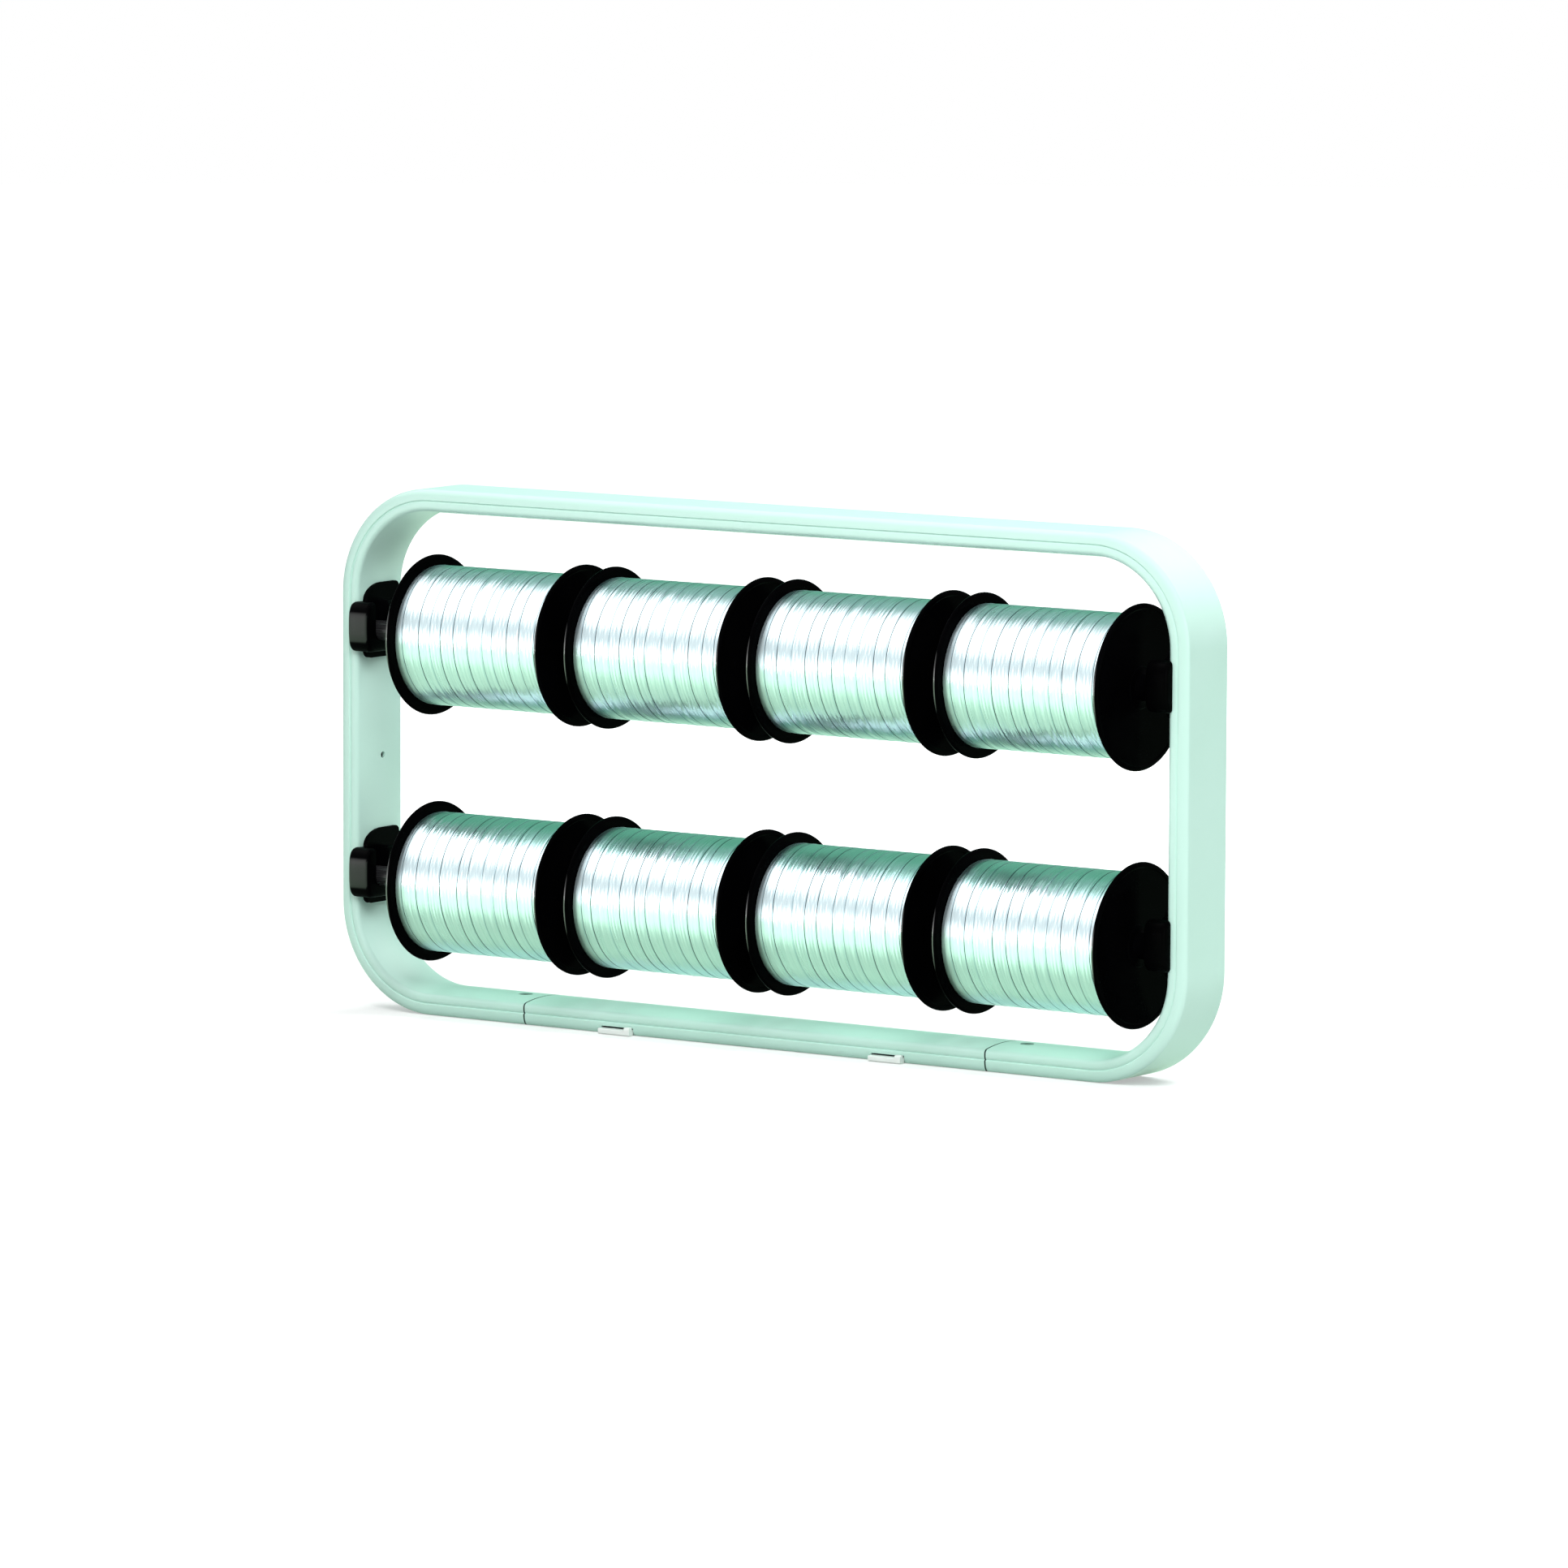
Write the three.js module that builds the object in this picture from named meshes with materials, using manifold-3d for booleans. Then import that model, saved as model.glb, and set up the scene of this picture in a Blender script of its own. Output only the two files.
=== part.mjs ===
// A spool unwinding rack: a rounded rectangular frame bent from a hollow band profile, closed at the
// bottom by a straight insert, with two rods across it that each carry four flanged ribbon reels.
// Millimetres, +Z up. X runs along the rods, Y = 0 is the plane of the rods, Z = 0 is the table.
import * as THREE from 'three';
import { mergeVertices } from 'three/addons/utils/BufferGeometryUtils.js';
import Module from 'manifold-3d';

const wasm = await Module();
wasm.setup();

// Clearances
const SEAT_GAP = 0.3;
const SEAM_GAP = 0.4;
const RUNNING_GAP = 0.4;

// Frame corners, and how far the band's middle lies behind the rods
const FRAME_CORNER_RADIUS = 65;
const CORNER_STEPS = 8;
const FRAME_BACKSET = 14;

// Band profile, seen along the band: depth runs from front to back, rise from the outer face inwards
const BAND_DEPTH = 44;
const BAND_EDGE_RISE = 13.2;
const BAND_CROWN_RISE = 15.2;
const BAND_EDGE_ROUND = 4;
const BAND_WALL = 1.8;
const GROOVE_RISE = 6;
const GROOVE_DEPTH = 0.7;
const BEAD_RISE = 7.6;
const BEAD_HALF_WIDTH = 0.8;
const VALLEY_RISE = 10;
const VALLEY_DEPTH = 0.5;
const LIP_ROUND = 2;

// Ribbon clips plugged into slots in the insert's lower front edge, each with a slit left above it
const CLIP_TO_SEAM = 68.3;
const CLIP_LENGTH = 22.6;
const CLIP_FRONT = 25.6;
const CLIP_TONGUE_END = 19.4;
const CLIP_SLOT_FLOOR = 0.9;
const CLIP_SLOT_TOP = 4.5;
const CLIP_TOP = 3.4;
const CLIP_POST_WIDTH = 4;
const CLIP_POST_TOP = 5.1;

// Seams, and the splice bars inside the band across them
const SEAM_TO_CORNER = 72.1;
const SPLICE_LENGTH = 60;
const SPLICE_HALF_DEPTH = 16;
const SPLICE_SCREW_INSET = 14.7;
const SPLICE_HEAD_RADIUS = 3.8;
const SPLICE_HEAD_HEIGHT = 1.8;
const SPLICE_SHANK_RADIUS = 1.8;
const SPLICE_SHANK_LENGTH = 8;

// Rods
const ROD_RADIUS = 6;
const ROD_CHAMFER = 1;
const ROW_SPACING = 148.5;
const SIDE_HOLE_HEIGHT = 152;
const SIDE_HOLE_RADIUS = 2;

// Rod holders, hooked round the inner front edge of the side rails
const HOLDER_PLATE_INNER = 17;
const HOLDER_PLATE_FRONT = 18;
const HOLDER_PLATE_BACK = 14;
const HOLDER_PLATE_UP = 28;
const HOLDER_PLATE_DOWN = 17;
const HOLDER_SHOULDER_DEPTH = 14.5;
const HOLDER_SHOULDER_HEIGHT = 10.5;
const HOLDER_CORNER_ROUND = 4;
const NOSE_INNER = 25.4;
const NOSE_OUTER = 10.2;
const NOSE_FRONT = 14.75;
const NOSE_BACK = 14;
const NOSE_UP = 17.4;
const NOSE_DOWN = 12.7;
const NOSE_BULGE = 8.75;
const SLOT_LEAD_IN = 1.5;
const HOLDER_SCREW_BACK = 21;
const HOLDER_SCREW_UP = 5.5;
const HOLDER_HEAD_RADIUS = 4;
const HOLDER_HEAD_HEIGHT = 2.2;
const HOLDER_SHANK_RADIUS = 2;
const HOLDER_SHANK_LENGTH = 9;

// Reels
const REELS_PER_ROD = 4;
const FLANGE_RADIUS = 48.1;
const FLANGE_THICKNESS = 2.8;
const FLANGE_RIM_ROUND = 1.1;
const FLANGE_SPAN = 112.2;
const NECK_LENGTH = 9.2;
const NECK_WALL = 1.2;
const CORE_RADIUS = 12;
const REEL_SIDES = 20;

// Room round the rows of reels
const ROW_PLAY = 30;
const ROW_END_GAP = 1.4;
const ROOM_BELOW = 17.2;
const LIFT_ROOM = 24.3;

// Ribbon on the reels: a plain packed roll with one outer layer wound over it
const RIBBON_BELOW_RIM = 6.2;
const RIBBON_END_GAP = 0.5;
const RIBBON_THICKNESS = 0.8;
const RIBBON_WIDTH = 7.6;
const LEAST_EDGE_GAP = 0.45;
const STEPS_PER_TURN = 10;

// Reels, rods and the frame round them
const REEL_PITCH = FLANGE_SPAN + NECK_LENGTH * 2 + RUNNING_GAP;
const LOWER_ROD_HEIGHT = BAND_CROWN_RISE + ROOM_BELOW + FLANGE_RADIUS;
const UPPER_ROD_HEIGHT = LOWER_ROD_HEIGHT + ROW_SPACING;
const FRAME_HEIGHT = UPPER_ROD_HEIGHT + FLANGE_RADIUS + LIFT_ROOM + BAND_CROWN_RISE;
const FRAME_WIDTH = REELS_PER_ROD * REEL_PITCH + ROW_PLAY + NOSE_INNER * 2;
const HALF_WIDTH = FRAME_WIDTH / 2;
const HALF_DEPTH = BAND_DEPTH / 2;
const RAIL_INSIDE = HALF_WIDTH - BAND_CROWN_RISE;
const SEAM_X = HALF_WIDTH - FRAME_CORNER_RADIUS - SEAM_TO_CORNER;
const CLIP_X = SEAM_X - CLIP_TO_SEAM;
const HOLDER_INNER_FACE = HALF_WIDTH - NOSE_INNER;
const ROD_END = HALF_WIDTH - HOLDER_PLATE_INNER - SEAT_GAP;
const LAST_REEL_X = HOLDER_INNER_FACE - ROW_END_GAP - NECK_LENGTH - FLANGE_SPAN / 2;

// The ribbon's layer fills the reel from flange to flange with whole turns
const LAYER_LENGTH = FLANGE_SPAN - (FLANGE_THICKNESS + RIBBON_END_GAP) * 2;
const LAYER_TURNS = Math.floor((LAYER_LENGTH - RIBBON_WIDTH) / (RIBBON_WIDTH + LEAST_EDGE_GAP));
const LAYER_PITCH = (LAYER_LENGTH - RIBBON_WIDTH) / LAYER_TURNS;
const LAYER_RADIUS = FLANGE_RADIUS - RIBBON_BELOW_RIM;
const LAYER_INSIDE = LAYER_RADIUS - RIBBON_THICKNESS;
const ROLL_RADIUS = LAYER_INSIDE * Math.cos(Math.PI / STEPS_PER_TURN) - SEAT_GAP;

const materials = {
  frame: { color: 0xd3e9e2, roughness: 0.35, metalness: 0.1 },
  clip: { color: 0xf2f6f4, roughness: 0.4, metalness: 0 },
  blackPlastic: { color: 0x101113, roughness: 0.3, metalness: 0 },
  rod: { color: 0x16171a, roughness: 0.25, metalness: 0.6 },
  screw: { color: 0x8f9794, roughness: 0.35, metalness: 0.9 },
  splice: { color: 0xa9b0b0, roughness: 0.5, metalness: 0.8 },
  ribbon: { color: 0xc9ddd6, roughness: 0.22, metalness: 0.9 },
};

const rack = new THREE.Group();

function addPiece(name, geometry, look, parent = rack) {
  const mesh = new THREE.Mesh(geometry, new THREE.MeshStandardMaterial(materials[look]));
  mesh.name = name;
  parent.add(mesh);
  return mesh;
}

// Solids for cutting and joining
function solidOf(geometry) {
  const bare = geometry.clone();
  bare.deleteAttribute('normal');
  bare.deleteAttribute('uv');
  const merged = mergeVertices(bare, 1e-4);
  return new wasm.Manifold(new wasm.Mesh({
    numProp: 3,
    vertProperties: new Float32Array(merged.attributes.position.array),
    triVerts: new Uint32Array(merged.index.array),
  }));
}

function geometryOf(solid) {
  const mesh = solid.getMesh();
  const geometry = new THREE.BufferGeometry();
  geometry.setAttribute('position', new THREE.BufferAttribute(mesh.vertProperties, 3));
  geometry.setIndex(new THREE.BufferAttribute(mesh.triVerts, 1));
  geometry.computeVertexNormals();
  return geometry;
}

function cut(base, tools) {
  return geometryOf(tools.reduce((left, tool) => left.subtract(solidOf(tool)), solidOf(base)));
}

function join(pieces) {
  const [first, ...others] = pieces.map(solidOf);
  return geometryOf(others.reduce((sum, piece) => sum.add(piece), first));
}

// An outline of [y, z] points pushed along X from x0 to x1
function prismAlongX(outline, x0, x1) {
  const shape = new THREE.Shape(outline.map(([y, z]) => new THREE.Vector2(y, z)));
  const geometry = new THREE.ExtrudeGeometry(shape, { depth: x1 - x0, bevelEnabled: false, curveSegments: 6 });
  const turn = new THREE.Matrix4().makeBasis(
    new THREE.Vector3(0, 1, 0), new THREE.Vector3(0, 0, 1), new THREE.Vector3(1, 0, 0));
  return geometry.applyMatrix4(turn).translate(x0, 0, 0);
}

// An outline of [radius, x] points turned about the X axis
function turnedAboutX(outline, sides) {
  const points = outline.map(([radius, x]) => new THREE.Vector2(radius, x));
  return new THREE.LatheGeometry(points, sides).rotateZ(-Math.PI / 2);
}

function mirroredInX(geometry) {
  const mirrored = geometry.index ? geometry.toNonIndexed() : geometry.clone();
  mirrored.scale(-1, 1, 1);
  const position = mirrored.attributes.position;
  for (let i = 0; i < position.count; i += 3) {
    const second = new THREE.Vector3().fromBufferAttribute(position, i + 1);
    const third = new THREE.Vector3().fromBufferAttribute(position, i + 2);
    position.setXYZ(i + 1, third.x, third.y, third.z);
    position.setXYZ(i + 2, second.x, second.y, second.z);
  }
  return mirrored;
}

function arcPoints(cx, cy, rx, ry, from, to, steps) {
  return Array.from({ length: steps + 1 }, (_, i) => {
    const angle = THREE.MathUtils.degToRad(from + (to - from) * i / steps);
    return [cx + rx * Math.cos(angle), cy + ry * Math.sin(angle)];
  });
}

// The band profile as [depth, rise] points. The inner face is crowned, so that it is thickest in the
// middle, and each edge has a groove, a bead and a shallow valley below its inner lip.
function crownRise(depth) {
  const reach = HALF_DEPTH - LIP_ROUND;
  return BAND_CROWN_RISE - (BAND_CROWN_RISE - BAND_EDGE_RISE) * (depth / reach) ** 2;
}

function bandHalfOutline() {
  const edge = HALF_DEPTH;
  const lipDepth = edge - LIP_ROUND;
  return [
    ...arcPoints(edge - BAND_EDGE_ROUND, BAND_EDGE_ROUND, BAND_EDGE_ROUND, BAND_EDGE_ROUND, -90, 0, 3),
    [edge - GROOVE_DEPTH, GROOVE_RISE],
    [edge, BEAD_RISE - BEAD_HALF_WIDTH],
    [edge, BEAD_RISE + BEAD_HALF_WIDTH],
    [edge - VALLEY_DEPTH, VALLEY_RISE],
    [edge - LIP_ROUND * 0.25, BAND_EDGE_RISE - LIP_ROUND * 0.9],
    [edge - LIP_ROUND * 0.45, BAND_EDGE_RISE - LIP_ROUND * 0.3],
    [lipDepth, BAND_EDGE_RISE],
    [lipDepth * 0.55, crownRise(lipDepth * 0.55)],
  ];
}

function bandHollowHalf() {
  const edge = HALF_DEPTH - BAND_WALL;
  return [
    [edge - BAND_EDGE_ROUND / 2, BAND_WALL],
    [edge, BAND_WALL + BAND_EDGE_ROUND / 2],
    [edge, VALLEY_RISE],
    [edge - LIP_ROUND, crownRise(edge - LIP_ROUND) - BAND_WALL],
    [edge * 0.5, crownRise(edge * 0.5) - BAND_WALL],
  ];
}

function bothHalves(half, middleRise) {
  const mirrored = half.map(([depth, rise]) => [-depth, rise]).reverse();
  return [...half, [0, middleRise], ...mirrored];
}

// In the swept shape, x points out of the frame and y points to its back
function bandShape() {
  const toSweep = ([depth, rise]) => new THREE.Vector2(-rise, depth);
  const shape = new THREE.Shape(bothHalves(bandHalfOutline(), BAND_CROWN_RISE).map(toSweep));
  const hollow = bothHalves(bandHollowHalf(), BAND_CROWN_RISE - BAND_WALL).map(toSweep);
  shape.holes.push(new THREE.Path(hollow));
  return shape;
}

// A path that steps exactly from one given station to the next
class StationPath extends THREE.Curve {
  constructor(stations) {
    super();
    this.stations = stations;
  }

  stationAt(u) {
    return this.stations[Math.round(u * (this.stations.length - 1))];
  }

  getPointAt(u, target = new THREE.Vector3()) {
    return target.copy(this.stationAt(u).point);
  }

  getTangentAt(u, target = new THREE.Vector3()) {
    return target.copy(this.stationAt(u).tangent);
  }
}

// The outer line of the frame, from the right-hand seam round to the left-hand one
function loopStations() {
  const end = SEAM_X + SEAM_GAP / 2;
  const cornerX = HALF_WIDTH - FRAME_CORNER_RADIUS;
  const lowZ = FRAME_CORNER_RADIUS;
  const highZ = FRAME_HEIGHT - FRAME_CORNER_RADIUS;
  const corners = [[cornerX, lowZ], [cornerX, highZ], [-cornerX, highZ], [-cornerX, lowZ]];
  const station = (x, z, dx, dz) => ({
    point: new THREE.Vector3(x, 0, z),
    tangent: new THREE.Vector3(dx, 0, dz),
  });
  const stations = [station(end, 0, 1, 0)];
  corners.forEach(([x, z], corner) => {
    for (let step = 0; step <= CORNER_STEPS; step += 1) {
      const angle = (corner + step / CORNER_STEPS - 1) * Math.PI / 2;
      const [outX, outZ] = [Math.cos(angle), Math.sin(angle)];
      stations.push(station(
        x + FRAME_CORNER_RADIUS * outX, z + FRAME_CORNER_RADIUS * outZ, -outZ, outX));
    }
  });
  stations.push(station(-end, 0, 1, 0));
  return stations;
}

function sweptAlong(stations, shape) {
  return new THREE.ExtrudeGeometry(shape, {
    steps: stations.length - 1,
    bevelEnabled: false,
    extrudePath: new StationPath(stations),
  });
}

// Cutters for a hole through a side rail's inner wall, and for an upright hole between two heights
function sideRailHole(side, depth, height, radius) {
  return new THREE.CylinderGeometry(radius, radius, BAND_WALL * 4, 12)
    .rotateZ(Math.PI / 2)
    .translate(side * RAIL_INSIDE, depth, height);
}

function uprightHole(x, bottom, top, radius) {
  return new THREE.CylinderGeometry(radius, radius, top - bottom, 12)
    .rotateX(Math.PI / 2)
    .translate(x, 0, (bottom + top) / 2);
}

const rodHeights = { upper: UPPER_ROD_HEIGHT, lower: LOWER_ROD_HEIGHT };
const sides = { left: -1, right: 1 };
const spliceScrewX = SEAM_X + SPLICE_SCREW_INSET;
const holderScrewDepth = HOLDER_SCREW_BACK - FRAME_BACKSET;

function frameLoop() {
  const holes = [];
  for (const side of Object.values(sides)) {
    holes.push(uprightHole(side * spliceScrewX, BAND_CROWN_RISE - BAND_WALL * 2,
      BAND_CROWN_RISE + BAND_WALL, SPLICE_HEAD_RADIUS + SEAM_GAP));
    holes.push(sideRailHole(side, 0, SIDE_HOLE_HEIGHT, SIDE_HOLE_RADIUS));
    for (const height of Object.values(rodHeights)) {
      holes.push(sideRailHole(
        side, holderScrewDepth, height + HOLDER_SCREW_UP, HOLDER_SHANK_RADIUS + SEAT_GAP));
    }
  }
  return cut(sweptAlong(loopStations(), bandShape()), holes);
}

function bottomInsert() {
  const end = SEAM_X - SEAM_GAP / 2;
  const ends = [-end, end].map((x) => ({
    point: new THREE.Vector3(x, 0, 0),
    tangent: new THREE.Vector3(1, 0, 0),
  }));
  const bar = sweptAlong(ends, bandShape());
  const half = CLIP_LENGTH / 2 + SEAT_GAP;
  return cut(bar, Object.values(sides).map((side) => prismAlongX([
    [-CLIP_FRONT, CLIP_SLOT_FLOOR],
    [-CLIP_TONGUE_END, CLIP_SLOT_FLOOR],
    [-CLIP_TONGUE_END, CLIP_SLOT_TOP],
    [-CLIP_FRONT, CLIP_SLOT_TOP],
  ], side * CLIP_X - half, side * CLIP_X + half)));
}

// The frame pieces are made round the band's middle depth and then set back from the rods
const frame = new THREE.Group();
frame.position.y = FRAME_BACKSET;
rack.add(frame);
addPiece('frame_loop', frameLoop(), 'frame', frame);
addPiece('bottom_insert', bottomInsert(), 'frame', frame);

// Splice bars lie in the band's hollow across each seam, held by a recessed screw outside the seam
const spliceTop = crownRise(SPLICE_HALF_DEPTH * 0.5) - BAND_WALL - RUNNING_GAP;

function spliceBar(side) {
  const bottom = BAND_WALL + SEAT_GAP;
  const shoulder = crownRise(SPLICE_HALF_DEPTH) - BAND_WALL - RUNNING_GAP;
  const outline = [
    [-SPLICE_HALF_DEPTH, bottom],
    [SPLICE_HALF_DEPTH, bottom],
    [SPLICE_HALF_DEPTH, shoulder],
    [SPLICE_HALF_DEPTH / 2, spliceTop],
    [-SPLICE_HALF_DEPTH / 2, spliceTop],
    [-SPLICE_HALF_DEPTH, shoulder],
  ];
  const middle = side * SEAM_X;
  const bar = prismAlongX(outline, middle - SPLICE_LENGTH / 2, middle + SPLICE_LENGTH / 2);
  return cut(bar, [uprightHole(side * spliceScrewX, spliceTop - SPLICE_SHANK_LENGTH,
    spliceTop + 1, SPLICE_SHANK_RADIUS + SEAT_GAP)]);
}

// A screw made along X with its head's seat at 0, the head on the plus side
function screw(headRadius, headHeight, shankRadius, shankLength) {
  return turnedAboutX([
    [0, -shankLength],
    [shankRadius * 0.6, -shankLength],
    [shankRadius, -shankLength + shankRadius * 0.6],
    [shankRadius, 0],
    [headRadius, 0],
    [headRadius, headHeight * 0.35],
    [headRadius * 0.62, headHeight],
    [0, headHeight],
  ], 10);
}

for (const [name, side] of Object.entries(sides)) {
  addPiece(`splice_bar_${name}`, spliceBar(side), 'splice', frame);
  const spliceScrew = screw(
    SPLICE_HEAD_RADIUS, SPLICE_HEAD_HEIGHT, SPLICE_SHANK_RADIUS, SPLICE_SHANK_LENGTH);
  const fitted = addPiece(`splice_screw_${name}`, spliceScrew, 'screw', frame);
  fitted.rotation.y = -Math.PI / 2;
  fitted.position.set(side * spliceScrewX, 0, spliceTop + SEAT_GAP);
}

// A clip's tongue goes into the insert's slot under the slit, and a small post closes the slit's right end
function railClip() {
  const half = CLIP_LENGTH / 2;
  const back = HALF_DEPTH - 1;
  const tongueFloor = CLIP_SLOT_FLOOR + SEAT_GAP;
  const body = prismAlongX([
    [-CLIP_FRONT + 0.6, 0],
    [-back, 0],
    [-back, tongueFloor],
    [-CLIP_TONGUE_END - SEAT_GAP, tongueFloor],
    [-CLIP_TONGUE_END - SEAT_GAP, CLIP_TOP],
    [-CLIP_FRONT + 0.4, CLIP_TOP],
    [-CLIP_FRONT, CLIP_TOP - 0.4],
    [-CLIP_FRONT, 0.6],
  ], -half, half);
  const post = prismAlongX([
    [-CLIP_FRONT + 0.6, 0],
    [-HALF_DEPTH - SEAT_GAP, 0],
    [-HALF_DEPTH - SEAT_GAP, CLIP_POST_TOP],
    [-CLIP_FRONT + 1, CLIP_POST_TOP],
    [-CLIP_FRONT, CLIP_POST_TOP - 1],
    [-CLIP_FRONT, 0.6],
  ], half - CLIP_POST_WIDTH, half);
  return join([body, post]);
}

for (const [name, side] of Object.entries(sides)) {
  addPiece(`rail_clip_${name}`, railClip(), 'clip', frame).position.x = side * CLIP_X;
}

// The whole frame grown by the seat gap, as a cutter for what hooks on to a rail round a rod's axis
function frameCutter(rodHeight) {
  const lip = HALF_DEPTH - LIP_ROUND;
  const half = [
    [HALF_DEPTH + SEAT_GAP, -SEAT_GAP],
    [HALF_DEPTH + SEAT_GAP, BAND_EDGE_RISE - LIP_ROUND * 0.5],
    [lip, BAND_EDGE_RISE + SEAT_GAP * 1.2],
    [lip * 0.55, crownRise(lip * 0.55) + SEAT_GAP],
  ];
  const outline = bothHalves(half, BAND_CROWN_RISE + SEAT_GAP)
    .map(([depth, rise]) => new THREE.Vector2(-rise, depth));
  return sweptAlong(loopStations(), new THREE.Shape(outline)).translate(0, FRAME_BACKSET, -rodHeight);
}

// The left-hand holder, round its rod's axis: a plate on the rail's inner face, and a nose that hooks
// over the rail's front edge and carries the rod's end in a slot open at the top.
function holder() {
  const plateInner = -(HALF_WIDTH - HOLDER_PLATE_INNER);
  const railSide = -HALF_WIDTH + NOSE_OUTER;
  const plateFront = FRAME_BACKSET - HOLDER_PLATE_FRONT;
  const plateBack = FRAME_BACKSET + HOLDER_PLATE_BACK;
  const plate = prismAlongX([
    ...arcPoints(plateBack - HOLDER_CORNER_ROUND, HOLDER_PLATE_UP - HOLDER_CORNER_ROUND,
      HOLDER_CORNER_ROUND, HOLDER_CORNER_ROUND, 0, 90, 2),
    ...arcPoints(plateFront + HOLDER_SHOULDER_DEPTH, HOLDER_PLATE_UP - HOLDER_SHOULDER_HEIGHT,
      HOLDER_SHOULDER_DEPTH, HOLDER_SHOULDER_HEIGHT, 90, 180, 4),
    ...arcPoints(plateFront + HOLDER_CORNER_ROUND, HOLDER_CORNER_ROUND - HOLDER_PLATE_DOWN,
      HOLDER_CORNER_ROUND, HOLDER_CORNER_ROUND, 180, 270, 2),
    ...arcPoints(plateBack - HOLDER_CORNER_ROUND, HOLDER_CORNER_ROUND - HOLDER_PLATE_DOWN,
      HOLDER_CORNER_ROUND, HOLDER_CORNER_ROUND, 270, 360, 2),
  ], railSide, plateInner);
  const nose = prismAlongX(noseOutline(), railSide, -HOLDER_INNER_FACE);
  const slotRadius = ROD_RADIUS + SEAT_GAP;
  const slotTop = NOSE_UP + 1;
  const slot = prismAlongX([
    ...arcPoints(0, 0, slotRadius, slotRadius, 180, 360, 8),
    [slotRadius, NOSE_UP - SLOT_LEAD_IN],
    [slotRadius + SLOT_LEAD_IN, slotTop],
    [-slotRadius - SLOT_LEAD_IN, slotTop],
    [-slotRadius, NOSE_UP - SLOT_LEAD_IN],
  ], plateInner, -HOLDER_INNER_FACE + 1);
  const screwHole = new THREE.CylinderGeometry(
    HOLDER_SHANK_RADIUS + SEAT_GAP, HOLDER_SHANK_RADIUS + SEAT_GAP, HOLDER_PLATE_INNER * 2, 12)
    .rotateZ(Math.PI / 2)
    .translate(plateInner, HOLDER_SCREW_BACK, HOLDER_SCREW_UP);
  const frameCutters = Object.values(rodHeights).map(frameCutter);
  return cut(join([plate, nose]), [...frameCutters, slot, screwHole]);
}

// The nose from the side: square behind, and in front a full curve between a round and a rectangle
function noseOutline() {
  const middle = (NOSE_UP - NOSE_DOWN) / 2;
  const half = (NOSE_UP + NOSE_DOWN) / 2;
  const squareness = 0.62;
  const front = Array.from({ length: 9 }, (_, i) => {
    const angle = Math.PI / 2 + Math.PI * i / 8;
    const across = Math.abs(Math.cos(angle)) ** squareness;
    const along = Math.sign(Math.sin(angle)) * Math.abs(Math.sin(angle)) ** squareness;
    return [-NOSE_FRONT + NOSE_BULGE * (1 - across), middle + half * along];
  });
  return [[NOSE_BACK, NOSE_UP], ...front, [NOSE_BACK, -NOSE_DOWN]];
}

const leftHolder = holder();
const rightHolder = mirroredInX(leftHolder);

for (const [row, height] of Object.entries(rodHeights)) {
  for (const [name, side] of Object.entries(sides)) {
    const shape = side < 0 ? leftHolder : rightHolder;
    addPiece(`rod_holder_${row}_${name}`, shape.clone(), 'blackPlastic').position.z = height;
    const fixing = screw(
      HOLDER_HEAD_RADIUS, HOLDER_HEAD_HEIGHT, HOLDER_SHANK_RADIUS, HOLDER_SHANK_LENGTH);
    const fitted = addPiece(`holder_screw_${row}_${name}`, fixing, 'screw');
    fitted.rotation.z = side < 0 ? 0 : Math.PI;
    const seatX = HALF_WIDTH - HOLDER_PLATE_INNER - SEAT_GAP;
    fitted.position.set(side * seatX, HOLDER_SCREW_BACK, height + HOLDER_SCREW_UP);
  }
}

// One reel, moulded in one piece: two flanges with round rims, a core and a short neck at each end
function reelBody() {
  const out = FLANGE_SPAN / 2;
  const inner = out - FLANGE_THICKNESS;
  const end = out + NECK_LENGTH;
  const bore = ROD_RADIUS + RUNNING_GAP;
  const half = [
    [CORE_RADIUS, inner],
    [FLANGE_RADIUS - FLANGE_RIM_ROUND, inner],
    [FLANGE_RADIUS, (out + inner) / 2],
    [FLANGE_RADIUS - FLANGE_RIM_ROUND, out],
    [bore + NECK_WALL, out],
    [bore + NECK_WALL, end],
    [bore, end],
  ];
  const mirrored = half.map(([radius, x]) => [radius, -x]).reverse();
  return turnedAboutX([...half, ...mirrored, half[0]], REEL_SIDES);
}

function ribbonRoll() {
  const end = LAYER_LENGTH / 2;
  const bore = CORE_RADIUS + SEAT_GAP;
  return turnedAboutX(
    [[bore, -end], [ROLL_RADIUS, -end], [ROLL_RADIUS, end], [bore, end], [bore, -end]], REEL_SIDES);
}

// The outer layer: one unbroken flat ribbon on a helix. A ring is the ribbon's cross-section.
const layerRings = LAYER_TURNS * STEPS_PER_TURN + 1;

function layerRing(index) {
  const turn = index / STEPS_PER_TURN;
  const angle = turn * Math.PI * 2;
  const middle = (turn - LAYER_TURNS / 2) * LAYER_PITCH;
  const corner = (radius, x) => new THREE.Vector3(
    x, radius * Math.cos(angle), radius * Math.sin(angle));
  const half = RIBBON_WIDTH / 2;
  return [
    corner(LAYER_RADIUS, middle - half),
    corner(LAYER_RADIUS, middle + half),
    corner(LAYER_INSIDE, middle + half),
    corner(LAYER_INSIDE, middle - half),
  ];
}

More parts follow.
